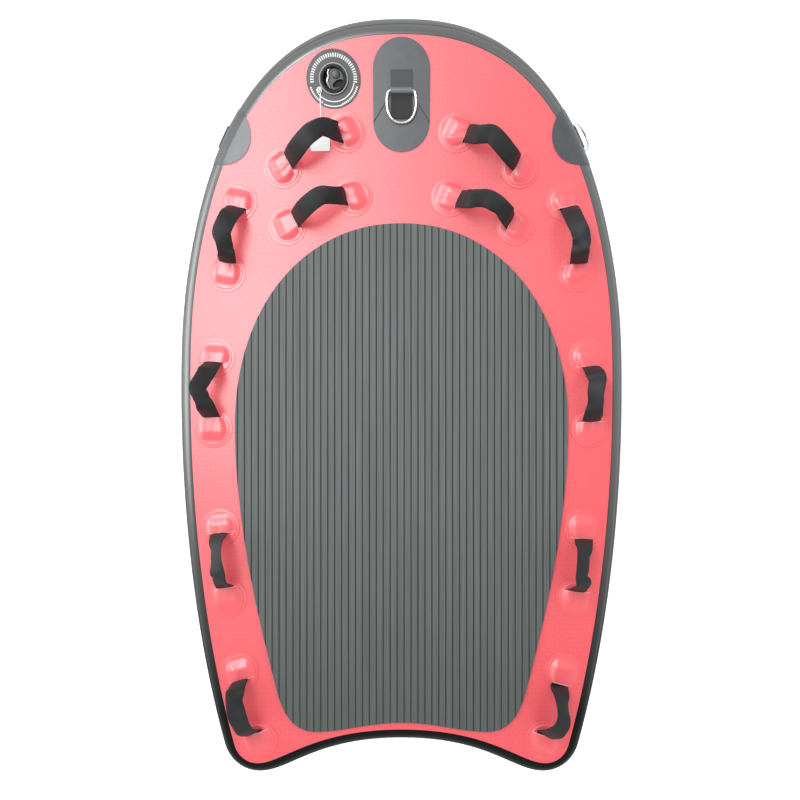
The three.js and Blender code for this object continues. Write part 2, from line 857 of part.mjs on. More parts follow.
// The overlay covers the front of the patch, and its rear edge is cut to a V at each side.
function noseOverlay() {
  const front = noseRows.filter(({ at }) => at > noseBarStation);
  const overlap = clearance + patchLayer + clearance;
  const edge = [-1, -overlayFlatShare, overlayFlatShare, 1];
  const rows = [{ back: 1, half: towPatchHalfWidth }, { back: overlayMidShare, half: towPatchHalfWidth }];
  rows.push(...front.map(({ at, half }) => ({ at, half })));
  return slab(edge.length - 1, rows.length - 1, (i, j, side) => {
    const { at, half, back } = rows[j];
    const atSide = i === 0 || i === edge.length - 1;
    const rear = noseBarStation - (atSide ? overlaySideReach : overlayMiddleReach);
    const station = at ?? rear + (front[0].at - rear) * (1 - back);
    return onDeck(edge[i] * half, station, overlap + side * patchLayer);
  });
}
addPiece("nose_tow_overlay", noseOverlay(), patchGrey);

const layerStep = clearance + patchLayer;
const noseBarHeight = 2 * layerStep + clearance + ringWireRadius;
const webbingRest = clearance + webbingThickness / 2;
const nosePath = humpPath(
  [webbingFrontReach, 2 * layerStep + webbingRest],
  [-webbingRearReach, layerStep + webbingRest],
  noseBarHeight,
);
addPiece("nose_tow_webbing", webbing(nosePath, (across, along, height) => {
  return onDeck(across, noseBarStation + along, height);
}), webbingGrey);

function addRing(name, frame) {
  const holder = new THREE.Group();
  holder.applyMatrix4(frame);
  board.add(holder);
  return addPiece(name, ringGeometry(), steel, holder);
}

const noseRingFrame = deckFrame(0, noseBarStation, noseBarHeight);
const lieBack = Math.PI - THREE.MathUtils.degToRad(noseRingTilt);
noseRingFrame.multiply(new THREE.Matrix4().makeRotationX(lieBack));
addRing("nose_tow_ring", noseRingFrame);

// A point on a shoulder of the rail: along it, round its section, and out from its wall.
function shoulderPoint(side, along, section, out) {
  const middle = flat(noseHalfWidth(shoulderStation), shoulderStation);
  const ahead = flat(noseHalfWidth(shoulderStation + overrun), shoulderStation + overrun);
  const lean = ahead.sub(middle).normalize();
  const station = shoulderStation + along * lean.y;
  const edge = flat(noseHalfWidth(station), station);
  const next = flat(noseHalfWidth(station + overrun), station + overrun);
  const tangent = next.sub(edge).normalize();
  const normal = flat(tangent.y, -tangent.x);
  const spread = section.offset + out * section.across;
  edge.addScaledVector(normal, spread);
  return rocker(side * edge.x, edge.y, section.height + out * section.up);
}

// A place on the wall's ellipse, given by its turn above the middle of the rail.
function wallSection(turn) {
  const normal = flat(Math.cos(turn) / railBulge, Math.sin(turn) / wallHalfHeight).normalize();
  return {
    offset: railBulge * Math.cos(turn),
    height: boardThickness / 2 + wallHalfHeight * Math.sin(turn),
    across: normal.x,
    up: normal.y,
  };
}

// Rows of a patch that wraps the rail, from its end on the deck to its end underneath.
function shoulderRows() {
  const upper = [];
  for (let k = shoulderDeckSteps; k >= 0; k--) {
    const offset = (-shoulderPatchInset * k) / shoulderDeckSteps;
    upper.push({ offset, height: boardThickness, across: 0, up: 1 });
  }
  for (let k = shoulderWallSteps - 1; k >= 0; k--) {
    upper.push(wallSection((Math.PI / 2) * (k / shoulderWallSteps)));
  }
  let run = 0;
  for (let k = upper.length - 1; k >= 0; k--) {
    const above = upper[k];
    const below = upper[k + 1] ?? above;
    run += Math.hypot(above.offset - below.offset, above.height - below.height);
    above.run = run;
  }
  const straight = run - towPatchHalfWidth;
  for (const row of upper) {
    const past = Math.max(0, row.run - straight);
    row.half = Math.sqrt(Math.max(0, towPatchHalfWidth ** 2 - past ** 2));
    row.half = Math.max(row.half, towPatchHalfWidth * patchTipShare);
  }
  const lower = upper.slice(0, -1).map((row) => {
    return { ...row, height: boardThickness - row.height, up: -row.up };
  });
  return [...upper, ...lower.reverse()];
}

function addShoulder(name, side, droop) {
  const rows = shoulderRows();
  const patch = slab(shoulderColumns, rows.length - 1, (i, j, layer) => {
    const along = rows[j].half * ((2 * i) / shoulderColumns - 1);
    return shoulderPoint(side, along, rows[j], clearance + layer * skinThickness);
  });
  addPiece(name + "_tow_patch", patch, patchGrey);
  const rest = clearance + skinThickness + webbingRest;
  const barOut = clearance + skinThickness + clearance + ringWireRadius;
  const path = humpPath([shoulderWebbingReach, rest], [-shoulderWebbingReach, rest], barOut);
  const strap = webbing(path, (across, along, out) => {
    return shoulderPoint(side, across, wallSection(along / wallHalfHeight), out);
  });
  addPiece(name + "_tow_webbing", strap, webbingGrey);
  const place = (along, out) => shoulderPoint(side, along, wallSection(0), out);
  const bar = place(0, barOut);
  const alongBar = place(overrun, barOut).sub(place(-overrun, barOut)).normalize();
  const outwards = place(0, barOut + overrun).sub(bar).normalize();
  const up = new THREE.Vector3().crossVectors(outwards, alongBar).multiplyScalar(side);
  const turn = THREE.MathUtils.degToRad(droop);
  const reach = outwards.clone().multiplyScalar(Math.cos(turn));
  reach.addScaledVector(up, -Math.sin(turn)).normalize();
  const face = new THREE.Vector3().crossVectors(alongBar, reach).normalize();
  const square = new THREE.Vector3().crossVectors(face, alongBar);
  const frame = new THREE.Matrix4().makeBasis(alongBar, square, face).setPosition(bar);
  addRing(name + "_tow_ring", frame);
}

addShoulder("left", -1, leftRingDroop);
addShoulder("right", 1, rightRingDroop);

// Inflation valve
const onValve = (x, y) => flat(valveX + x, valveStation + y);
const collarRadius = valveNeckRadius + clearance;
const valvePatch = turned([
  [collarRadius, clearance],
  [(collarRadius + valvePatchRadius) / 2, clearance],
  [valvePatchRadius, clearance],
  [valvePatchRadius, layerStep],
  [(collarRadius + valvePatchRadius) / 2, layerStep],
  [collarRadius, layerStep],
]);
addPiece("valve_ring_patch", laid(valvePatch, onValve), patchGrey);

const valve = new THREE.Group();
valve.applyMatrix4(valveFrame);
board.add(valve);
const seatHeight = layerStep + valveLift;
const shoulderHeight = seatHeight - valveBoreDepth;
const seatBottom = seatHeight - valveSeatDepth;
const valveBottom = seatHeight - valveDepth;
const chamberFloor = valveBottom + valveFloorThickness;
const flangeTop = seatHeight + valveFlangeHeight;
const guideRadius = poppetStemRadius + clearance;

function valveBody() {
  const shell = turned([
    [guideRadius, valveBottom],
    [valveNeckRadius, valveBottom],
    [valveNeckRadius, seatHeight],
    [valveFlangeRadius, seatHeight],
    [valveFlangeRadius, flangeTop],
    [valveBoreRadius, flangeTop],
    [valveBoreRadius, shoulderHeight],
    [valveThroatRadius, shoulderHeight],
    [valveThroatRadius, seatBottom],
    [valveChamberRadius, seatBottom],
    [valveChamberRadius, chamberFloor],
    [guideRadius, chamberFloor],
  ]);
  const vents = [];
  const depth = valveFloorThickness + 2 * overrun;
  for (let k = 0; k < ventCount; k++) {
    const turn = (2 * Math.PI * k) / ventCount;
    const reach = valveChamberRadius * ventPlaceShare;
    const vent = new THREE.CylinderGeometry(ventRadius, ventRadius, depth, ventSides);
    vent.rotateX(Math.PI / 2);
    vents.push(vent.translate(reach * Math.cos(turn), reach * Math.sin(turn), valveBottom));
  }
  return cut(shell, ...vents);
}
addPiece("valve_body", valveBody(), valveBlack, valve);

const nutTop = wallTop - skinThickness - boardThickness - clearance;
addPiece("valve_nut", turned([
  [collarRadius, nutTop - nutHeight],
  [nutRadius, nutTop - nutHeight],
  [nutRadius, nutTop],
  [collarRadius, nutTop],
]), valveBlack, valve);

const sealBottom = shoulderHeight + clearance;
const plugRadius = valveBoreRadius - clearance;
addPiece("valve_cap_seal", turned([
  [plugRadius - sealWidth, sealBottom],
  [plugRadius, sealBottom],
  [plugRadius, sealBottom + sealThickness],
  [plugRadius - sealWidth, sealBottom + sealThickness],
]), strapBlack, valve);

function valveCap() {
  const bottom = sealBottom + sealThickness + clearance;
  const floor = bottom + capFloorThickness;
  const rimBottom = flangeTop + clearance;
  const cup = turned([
    [0, bottom],
    [plugRadius, bottom],
    [plugRadius, rimBottom],
    [capRimRadius, rimBottom],
    [capRimRadius, rimBottom + capRimThickness],
    [plugRadius - capWall, rimBottom + capRimThickness],
    [plugRadius - capWall, floor],
    [0, floor],
  ]);
  const low = floor - capFloorThickness / 2;
  const gripLength = 2 * plugRadius - capWall;
  const grip = new THREE.BoxGeometry(gripWidth, gripLength, rimBottom - low);
  return joined(cup, grip.translate(0, 0, (rimBottom + low) / 2));
}
addPiece("valve_cap", valveCap(), valveBlack, valve);

const poppetTop = seatBottom - clearance;
const poppetBottom = poppetTop - poppetThickness;
const buttonTop = shoulderHeight + clearance;
addPiece("valve_poppet", turned([
  [0, valveBottom - poppetStemReach],
  [poppetStemRadius, valveBottom - poppetStemReach],
  [poppetStemRadius, poppetBottom],
  [poppetRadius, poppetBottom],
  [poppetRadius, poppetTop],
  [poppetStemRadius, poppetTop],
  [poppetStemRadius, buttonTop - poppetThickness],
  [poppetButtonRadius, buttonTop - poppetThickness],
  [poppetButtonRadius, buttonTop],
  [0, buttonTop],
]), valveBlack, valve);

function valveSpring() {
  const low = chamberFloor + clearance + springWireRadius;
  const high = poppetBottom - clearance - springWireRadius;
  const points = [];
  const steps = springTurns * springTurnSteps;
  for (let k = 0; k <= steps; k++) {
    const turn = (2 * Math.PI * k) / springTurnSteps;
    const z = low + ((high - low) * k) / steps;
    points.push(new THREE.Vector3(springRadius * Math.cos(turn), springRadius * Math.sin(turn), z));
  }
  const rings = points.map((point, k) => {
    const turn = (2 * Math.PI * k) / springTurnSteps;
    const out = new THREE.Vector3(Math.cos(turn), Math.sin(turn), 0);
    const ring = [];
    for (let i = 0; i < springSides; i++) {
      const wire = (2 * Math.PI * i) / springSides;
      const corner = point.clone().addScaledVector(out, springWireRadius * Math.cos(wire));
      corner.z += springWireRadius * Math.sin(wire);
      ring.push(corner);
    }
    return ring;
  });
  return loft(rings, { cap: fan(springSides) });
}
addPiece("valve_spring", valveSpring(), steel, valve);

// Swing tag on a string from the valve's flange
const stringPath = stringRoute.map(([x, station, height]) => onDeck(x, station, height));
const stringShape = new THREE.Shape();
stringShape.absarc(0, 0, stringRadius, 0, 2 * Math.PI);
const stringGeometry = new THREE.ExtrudeGeometry(stringShape, {
  steps: stringSteps,
  curveSegments: stringSides / 2,
  extrudePath: new THREE.CatmullRomCurve3(stringPath),
});
addPiece("tag_string", stringGeometry, cardWhite);

const [, stringEnd] = stringRoute[stringRoute.length - 1];
const tagFront = stringEnd - clearance;
const tagRows = [tagFront - tagLength, tagFront - tagLength * tagBendShare, tagFront];
addPiece("swing_tag", slab(1, tagRows.length - 1, (i, j, side) => {
  const height = clearance + side * tagThickness + i * (layerStep + clearance);
  return onDeck(tagX + (i ? 1 : -1) * (tagWidth / 2), tagRows[j], height);
}), cardWhite);

// The part's frame stands under the middle of the board, on the surface it rests on.
const extent = new THREE.Box3().setFromObject(board);
board.position.y = -(extent.min.y + extent.max.y) / 2;

export default board;
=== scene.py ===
# %% [markdown]
# # An inflatable rescue board
# A lifeguard lays a swimmer on this board and tows it in. It is a flat drop-stitch hull of coated
# cloth with an upturned nose, a grooved foam pad, twelve soft handles, three towing rings and a
# valve. The solids of the part are loaded first, as a frame that every piece has to fit.

# %% Load the solids
import bisect
import json
import math
import random

import bpy
from mathutils import Matrix, Vector

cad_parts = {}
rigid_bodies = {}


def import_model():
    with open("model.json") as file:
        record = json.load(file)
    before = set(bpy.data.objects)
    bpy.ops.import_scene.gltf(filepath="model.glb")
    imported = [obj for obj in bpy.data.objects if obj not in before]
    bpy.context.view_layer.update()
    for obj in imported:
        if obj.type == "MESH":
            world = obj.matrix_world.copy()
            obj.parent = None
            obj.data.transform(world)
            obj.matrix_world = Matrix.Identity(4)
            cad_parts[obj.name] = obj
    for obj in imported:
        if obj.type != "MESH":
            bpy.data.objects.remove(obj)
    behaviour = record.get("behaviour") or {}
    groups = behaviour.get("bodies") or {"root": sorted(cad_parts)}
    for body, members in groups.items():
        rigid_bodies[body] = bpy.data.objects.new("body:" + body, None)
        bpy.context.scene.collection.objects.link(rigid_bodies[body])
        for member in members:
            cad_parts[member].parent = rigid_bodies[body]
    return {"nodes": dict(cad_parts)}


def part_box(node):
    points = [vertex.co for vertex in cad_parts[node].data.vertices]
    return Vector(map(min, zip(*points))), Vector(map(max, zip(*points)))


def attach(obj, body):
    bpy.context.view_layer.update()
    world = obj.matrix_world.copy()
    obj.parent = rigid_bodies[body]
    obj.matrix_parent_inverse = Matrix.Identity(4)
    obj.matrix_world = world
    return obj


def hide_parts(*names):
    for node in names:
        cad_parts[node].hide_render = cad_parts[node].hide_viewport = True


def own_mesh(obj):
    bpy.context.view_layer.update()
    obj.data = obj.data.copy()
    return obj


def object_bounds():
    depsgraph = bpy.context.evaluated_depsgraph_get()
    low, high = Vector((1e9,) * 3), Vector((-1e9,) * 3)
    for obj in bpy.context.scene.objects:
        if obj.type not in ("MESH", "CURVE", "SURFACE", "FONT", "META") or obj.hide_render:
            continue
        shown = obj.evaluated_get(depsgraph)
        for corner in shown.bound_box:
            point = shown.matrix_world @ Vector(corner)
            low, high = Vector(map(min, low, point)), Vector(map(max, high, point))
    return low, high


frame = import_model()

cad_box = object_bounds()
print("solids:", len(frame["nodes"]), "box:", [round(v, 4) for corner in cad_box for v in corner])

# %% [markdown]
# ## The camera
# The picture looks straight down onto the deck. The handles' crests lean away from the point below
# the lens, and that gives the height: about 1.75 m over the deck. The board is not centred under
# the lens, so the lens is shifted rather than tilted, as in a view camera, because a tilt would
# make the sides of the board converge. Points of the picture are counted in its 800 by 800 pixels.

# %% Camera
picture_side, focal_length, sensor_width = 800, 728.4, 36
camera_height, below_lens_y = 1.90, -0.1139
point_below_lens = (401.5, 450.0)

camera_data = bpy.data.cameras.new("ladder_camera")
camera = bpy.data.objects.new("ladder_camera", camera_data)
bpy.context.scene.collection.objects.link(camera)
bpy.context.scene.camera = camera
camera.location = (0, below_lens_y, camera_height)
camera_data.sensor_width = sensor_width
camera_data.lens = sensor_width * focal_length / picture_side
camera_data.shift_x = (picture_side / 2 - point_below_lens[0]) / picture_side
camera_data.shift_y = (point_below_lens[1] - picture_side / 2) / picture_side
print("lens", round(camera_data.lens, 2), "mm, shifts", camera_data.shift_x, camera_data.shift_y)

# %% [markdown]
# ## The bend of the nose
# The hull is drawn flat and then bent up at the nose, which is how such a board is cut: its deck
# cloth is a flat pattern. A point is given by how far it is to the right, how far along the deck
# and how high over the bottom, in millimetres. Behind the start of the bend nothing changes, and
# past it the distance along the deck becomes an arc. Blender's Simple Deform could bend too, but a
# formula keeps every piece exactly on the solids.

# %% Bend
MM = 0.001
rocker_start, rocker_radius, board_thickness = 345, 1325, 150
deck_half_width, nose_reach, tail_reach, tail_scoop = 507, 851, 858, 81
hull_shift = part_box("deck_skin")[0].y / MM + tail_reach


def bent(x, station, height):
    """A point of the flat drawing, in millimetres, on the bent board, in metres."""
    if station <= rocker_start:
        return Vector((x, station + hull_shift, height)) * MM
    turn = (station - rocker_start) / rocker_radius
    radius = rocker_radius + board_thickness - height
    y = rocker_start + radius * math.sin(turn)
    z = board_thickness + rocker_radius - radius * math.cos(turn)
    return Vector((x, y + hull_shift, z)) * MM


def on_deck(x, station, height):
    return bent(x, station, board_thickness + height)


def unbent(point):
    """The place on the flat drawing, in millimetres, of a point on the bent board."""
    x, y, z = point / MM
    ahead, below = y - hull_shift - rocker_start, board_thickness + rocker_radius - z
    if ahead <= 0:
        return x, y - hull_shift, z
    return (x, rocker_start + math.atan2(ahead, below) * rocker_radius,
            board_thickness + rocker_radius - math.hypot(ahead, below))


print("nose tip over the floor:", round(on_deck(0, nose_reach, 0).z, 4))

# %% [markdown]
# ## First helpers
# An operator acts on all that is selected, so each piece starts with nothing selected. A wire or a
# thread is drawn as a curve with a round bevel, which is the easiest tube, and then made a mesh,
# so that it can be measured and moved like the rest.


# %% First helpers
def smooth_through(points, steps):
    """Points on a smooth line through the given ones, which it touches in turn."""
    line = []
    for k in range(len(points) - 1):
        before = points[max(0, k - 1)]
        here, there = points[k], points[k + 1]
        after = points[min(len(points) - 1, k + 2)]
        for step in range(steps):
            t = step / steps
            line.append([
                0.5 * (2 * b + (c - a) * t + (2 * a - 5 * b + 4 * c - d) * t**2
                       + (3 * b - a - 3 * c + d) * t**3)
                for a, b, c, d in zip(before, here, there, after)
            ])
    return line + [list(points[-1])]


def deselect_all():
    if bpy.context.object and bpy.context.object.mode != "OBJECT":
        bpy.ops.object.mode_set(mode="OBJECT")
    bpy.ops.object.select_all(action="DESELECT")


def take(piece):
    """Selects one piece alone and makes it active, as a click in the outliner does."""
    deselect_all()
    piece.select_set(True)
    bpy.context.view_layer.objects.active = piece
    return piece


def just_added(name):
    """The piece that an operator has just added, under a name of its own."""
    piece = bpy.context.object
    piece.name = piece.data.name = name
    return piece


def wire_along(name, points, diameter, closed=False):
    """A round thread or wire along points in metres; its diameter is in millimetres."""
    deselect_all()
    bpy.ops.curve.primitive_nurbs_path_add(location=(0, 0, 0))
    piece = just_added(name)
    piece.data.splines.clear()
    line = piece.data.splines.new("POLY")
    line.points.add(len(points) - 1)
    for point, place in zip(line.points, points):
        point.co = (*place, 1)
    line.use_cyclic_u = closed
    piece.data.bevel_depth = diameter / 2 * MM
    piece.data.bevel_resolution = 5
    piece.data.use_fill_caps = True
    take(piece)
    bpy.ops.object.convert(target="MESH")
    bpy.ops.object.shade_smooth()
    return piece


# %% [markdown]
# ## The string of the swing tag
# A thin white string is tied at the valve's flange and runs back to a card. The picture shows all
# of it, so its length is the length of its route. It is made first, with the camera. Each point of
# the route is across, along and over the deck.

# %% String
string_diameter = 3.2
string_route = [
    (-185, 740, 2.9), (-188, 730, 2.7), (-189, 716, 2.7), (-189, 703, 2.7),
    (-189, 692, 1.9), (-190, 676, 1.7), (-191, 659, 1.8),
]
string_points = [on_deck(*p) for p in smooth_through(string_route, 4)]
tag_string = wire_along("white_string", string_points, string_diameter)

# %% [markdown]
# ## Helpers for cloth
# Most pieces of this board are cloth: a flat sheet that follows the bent deck or wraps the rail.
# Each starts as Blender's grid, whose points are then put in place by a formula of column and row.
# Where two edges meet, as on the rail, merging by distance closes the seam.

# %% Cloth helpers
merge_distance, degenerate_length = 0.00002, 0.000005


def edit_all():
    """Opens the active mesh in Edit Mode with everything selected."""
    bpy.ops.object.mode_set(mode="EDIT")
    bpy.ops.mesh.select_all(action="SELECT")


def close_outwards():
    """Points the edited mesh's faces outwards and leaves Edit Mode."""
    bpy.ops.mesh.select_all(action="SELECT")
    bpy.ops.mesh.normals_make_consistent(inside=False)
    bpy.ops.object.mode_set(mode="OBJECT")


def smooth_below(degrees):
    """Shades the active piece smooth, with edges that turn more kept sharp."""
    bpy.ops.object.shade_smooth_by_angle(angle=math.radians(degrees))


def cloth(name, columns, rows, place, zone=None):
    """A grid of columns by rows faces, with each point set by place(column, row).

    A face's zone(column, row), if given, is the number of its material.
    """
    deselect_all()
    bpy.ops.mesh.primitive_grid_add(x_subdivisions=columns, y_subdivisions=rows, size=2)
    piece = just_added(name)
    if zone:
        for face in piece.data.polygons:
            column, row = ((c + 1) / 2 for c in face.center[:2])
            face.material_index = zone(int(column * columns), int(row * rows))
    for vertex in piece.data.vertices:
        column = round((vertex.co.x + 1) / 2 * columns)
        row = round((vertex.co.y + 1) / 2 * rows)
        vertex.co = place(column, row)
    edit_all()
    bpy.ops.mesh.remove_doubles(threshold=merge_distance)
    bpy.ops.mesh.dissolve_degenerate(threshold=degenerate_length)
    close_outwards()
    smooth_below(40)
    return piece


def finish_with(piece, kind, **settings):
    """Adds a modifier with its settings and applies it at once."""
    take(piece)
    modifier = piece.modifiers.new(kind.title(), kind)
    for key, value in settings.items():
        setattr(modifier, key, value)
    bpy.ops.object.modifier_apply(modifier=modifier.name)
    smooth_below(40)
    return piece


def thicken(piece, thickness, offset=-1):
    """Gives a sheet its thickness, in millimetres, below it or, with no offset, on both sides."""
    return finish_with(piece, "SOLIDIFY", thickness=thickness * MM, offset=offset)


def bevel_edges(piece, width, segments, degrees):
    """Rounds the edges that turn more than an angle; the width is in millimetres."""
    finish_with(piece, "BEVEL", width=width * MM, segments=segments, limit_method="ANGLE",
                angle_limit=math.radians(degrees))


def point_up(piece):
    """Turns an open sheet's faces so that they look up."""
    if sum(face.normal.z * face.area for face in piece.data.polygons) < 0:
        piece.data.flip_normals()
    return piece


def join(name, first, *others):
    """Joins pieces into the first one, which keeps all their materials, under one name."""
    take(first)
    for other in others:
        other.select_set(True)
    bpy.ops.object.join()
    first.name = first.data.name = name
    return first


def paint(piece, *finishes):
    for finish in finishes:
        piece.data.materials.append(finish)


# %% [markdown]
# ## The outline of the deck
# The nose is a superellipse, the sides are a long ellipse, and the tail has two round lobes with a
# scoop between them. The right half is worked out densely, mirrored, and then walked in equal
# steps, so that the rail gets even faces all round.

# %% Lines of the outline
fine = 400


def superellipse(half_width, middle, top, fullness):
    """A quarter outline, from its top on the middle line out to its widest place."""
    line = []
    for k in range(fine + 1):
        turn = math.pi / 2 * k / fine
        x = half_width * math.sin(turn) ** (2 / fullness)
        rise = max(0, math.cos(turn)) ** (2 / fullness)
        line.append((x, middle + (top - middle) * rise))
    return line


def bezier(corners, count):
    points = []
    for k in range(1, count + 1):
        t = k / count
        weights = ((1 - t) ** 3, 3 * t * (1 - t) ** 2, 3 * t * t * (1 - t), t**3)
        points.append(tuple(sum(w * c[i] for w, c in zip(weights, corners)) for i in (0, 1)))
    return points


def run_lengths(points):
    """How far along a line of points each of them is."""
    runs = [0]
    for a, b in zip(points, points[1:]):
        runs.append(runs[-1] + math.dist(a[:2], b[:2]))
    return runs


def even_walk(points, count):
    """The same line with count equal steps."""
    runs = run_lengths(points)
    walked = []
    for k in range(count + 1):
        target = runs[-1] * k / count
        i = min(len(points) - 2, bisect.bisect_right(runs, target) - 1)
        t = (target - runs[i]) / max(1e-9, runs[i + 1] - runs[i])
        walked.append(tuple(a + (b - a) * t for a, b in zip(points[i], points[i + 1])))
    return walked


# %% Outline
widest_station, nose_fullness, side_taper, side_end = 50.04, 2.42, 1414, -815
lobe_x, corner_hold, lobe_hold, scoop_hold = 345.8, 26, 59.8, 215
outline_steps = 280


def side_half_width(station):
    return deck_half_width * math.sqrt(1 - ((widest_station - station) / side_taper) ** 2)


def nose_half_width(station):
    share = max(0, station - widest_station) / (nose_reach - widest_station)
    return deck_half_width * (1 - min(1, share) ** nose_fullness) ** (1 / nose_fullness)


upper_edge = superellipse(deck_half_width, widest_station, nose_reach, nose_fullness)
lower_edge = [(deck_half_width, widest_station)]
for k in range(1, fine + 1):
    s = widest_station + (side_end - widest_station) * (k / fine) ** 1.5
    lower_edge.append((side_half_width(s), s))
end_x = lower_edge[-1][0]
lean = (side_half_width(side_end - 5) - end_x, -5)
hold = corner_hold / math.hypot(*lean)
lower_edge += bezier([
    (end_x, side_end),
    (end_x + lean[0] * hold, side_end + lean[1] * hold),
    (lobe_x + corner_hold, -tail_reach),
    (lobe_x, -tail_reach),
], 60)
lower_edge += bezier([
    (lobe_x, -tail_reach),
    (lobe_x - lobe_hold, -tail_reach),
    (scoop_hold, tail_scoop - tail_reach),
    (0, tail_scoop - tail_reach),
], 200)

half = even_walk(upper_edge + lower_edge[1:], outline_steps)
outline = half + [(-x, s) for x, s in half[-2:0:-1]]
count = len(outline)
outward = []
for i in range(count):
    (ax, ay), (bx, by) = outline[i - 1], outline[(i + 1) % count]
    length = math.hypot(bx - ax, by - ay)
    outward.append(((ay - by) / length, (bx - ax) / length))
print("outline points:", count)

# %% [markdown]
# ## The rail
# The rail is the round side of the hull: a wall of grey coated cloth glued round the core. A tape
# covers the seam at the deck, and a wide band runs over the middle as a rubbing strip. Each is
# about a millimetre thick, so both are steps in the wall's section. The section is half an ellipse
# that is swept round the outline.

# %% Rail
rail_bulge, rail_half_height, lap_width = 38, 73.5, 30
tape_rows, seam_rows = 11, 14


def wall_section(turn):
    """A place on the rail at an angle over its middle: out, high, and which way it faces."""
    across, up = math.cos(turn) / rail_bulge, math.sin(turn) / rail_half_height
    length = math.hypot(across, up)
    return (rail_bulge * math.cos(turn), board_thickness / 2 + rail_half_height * math.sin(turn),
            across / length, up / length)


def lifted_wall(turn, lift):
    offset, height, across, up = wall_section(turn)
    return offset + lift * across, height + lift * up


# Angles over the rail's middle, in degrees, and how thick the tape or band is there.
upper_angles = [
    (90, 0), (88.8, 0), (88, 1.2), (86, 1.2), (83, 1.2), (79, 1.2), (74, 1.2), (69, 1.2), (64, 1.2),
    (59, 1.2), (56.2, 1.2), (55.8, 0), (54.4, 0), (54, 1), (49, 1), (43, 1), (36, 1), (28, 1),
    (19, 1), (9, 1),
]
section = [(-lap_width, board_thickness / 2 + rail_half_height)]
section += [lifted_wall(math.radians(a), lift) for a, lift in upper_angles]
section.append(lifted_wall(0, 1))
section += [(offset, board_thickness - height) for offset, height in section[-2::-1]]


def rail_point(column, row):
    (x, s), (nx, ns) = outline[column % count], outward[column % count]
    offset, height = section[row]
    return bent(x + nx * offset, s + ns * offset, height)


def rail_zone(column, row):
    """0 for the tapes, 1 for the seam lines and 2 for the middle band."""
    level = min(row, len(section) - 2 - row)
    return 0 if level < tape_rows else 1 if level < seam_rows else 2


rail = cloth("rail_cover", count, len(section) - 1, rail_point, rail_zone)
print("rail faces:", len(rail.data.polygons))

# %% [markdown]
# ## Deck and bottom
# Both are flat sheets cut to the outline. Columns run along the board, close together where the
# outline turns, and each is split evenly from the tail's edge to the nose's edge. A Solidify
# modifier gives the cloth its thickness.

# %% Sheets
skin_thickness = 1.2
upper_xs, upper_ys = zip(*upper_edge)
lower_xs, lower_ys = zip(*sorted(lower_edge))


def edge_at(xs, ys, x):
    """The edge's station at a distance from the middle, between the two nearest points."""
    i = min(len(xs) - 2, max(0, bisect.bisect_right(xs, x) - 1))
    t = (x - xs[i]) / max(1e-9, xs[i + 1] - xs[i])
    return ys[i] + (ys[i + 1] - ys[i]) * t


def hull_sheet(name, height, columns, rows):
    def place(column, row):
        x = deck_half_width * math.sin(math.pi / 2 * (2 * column / columns - 1))
        low, high = edge_at(lower_xs, lower_ys, abs(x)), edge_at(upper_xs, upper_ys, abs(x))
        return bent(x, low + (high - low) * row / rows, height)
    return thicken(point_up(cloth(name, columns, rows, place)), skin_thickness)


deck = hull_sheet("deck_cloth", board_thickness, 200, 110)
bottom = hull_sheet("bottom_cloth", skin_thickness, 160, 90)
print("deck faces:", len(deck.data.polygons), "bottom faces:", len(bottom.data.polygons))

# %% [markdown]
# ## The valve's place
# The valve leans with the deck, so a matrix holds its place and tilt, and every round part of it
# is modelled upright at the origin and moved there. The first is a plain plug, with which a
# Boolean modifier cuts the hole in the deck.

# %% Valve place
valve_x, valve_station, neck_radius = -157, 759.5, 28.3
valve_turn = (valve_station - rocker_start) / rocker_radius
valve_place = (Matrix.Translation(on_deck(valve_x, valve_station, 0))
               @ Matrix.Rotation(valve_turn, 4, "X"))
axis_radius = 0.001


def turned(name, profile, segments=96, place=valve_place):
    """A round piece: a ring of points, extruded and resized along its radii and heights."""
    deselect_all()
    radius, height = profile[0]
    bpy.ops.mesh.primitive_circle_add(
        vertices=segments, radius=radius * MM, location=(0, 0, height * MM))
    piece = just_added(name)
    bpy.ops.object.transform_apply(location=True)
    edit_all()
    for next_radius, next_height in profile[1:]:
        bpy.ops.mesh.extrude_region_move()
        share = next_radius / radius
        bpy.ops.transform.resize(value=(share, share, 1), center_override=(0, 0, height * MM))
        bpy.ops.transform.translate(value=(0, 0, (next_height - height) * MM))
        radius, height = next_radius, next_height
    bpy.ops.mesh.select_all(action="SELECT")
    bpy.ops.mesh.remove_doubles(threshold=merge_distance)
    close_outwards()
    smooth_below(35)
    piece.data.transform(place)
    piece.data.update()
    return piece


def plug(name, radius, low, high, *more):
    """A plain cylinder to cut a hole with."""
    return turned(name, [(axis_radius, low), (radius, low), (radius, high), (axis_radius, high)],
                  *more)


def cut_away(piece, tool):
    """Cuts the tool's shape out of the piece and deletes the tool."""
    finish_with(piece, "BOOLEAN", object=tool, operation="DIFFERENCE", solver="EXACT")
    bpy.data.objects.remove(tool)


cut_away(deck, plug("hole", neck_radius, -8, 8))
print("deck faces after the valve's hole:", len(deck.data.polygons))

# %% [markdown]
# ## The traction pad
# A sheet of closed-cell foam, 5 mm thick, with grooves milled every 16.6 mm along the board so
# that water runs off and wet skin grips. The grooves are real dips: each takes four columns of the
# grid, two at the lips and two at the floor. Solidify would copy the dips to the underside, so its
# points are then laid flat on the glue.

# %% Pad
pad_half_width, pad_top, pad_widest, pad_fullness, pad_tail = 399, 437, -49.96, 2.13, 781
pad_thickness, groove_pitch, groove_depth, groove_shift, glue_gap = 5, 16.63, 1.7, 6.3, 0.3
groove_columns = ((-1.6, 0), (-0.8, groove_depth), (0.8, groove_depth), (1.6, 0), (8.3, 0))
edge_columns = (5, 3.6, 2.4, 1.4, 0.7, 0.2, 0)
pad_rows = 100

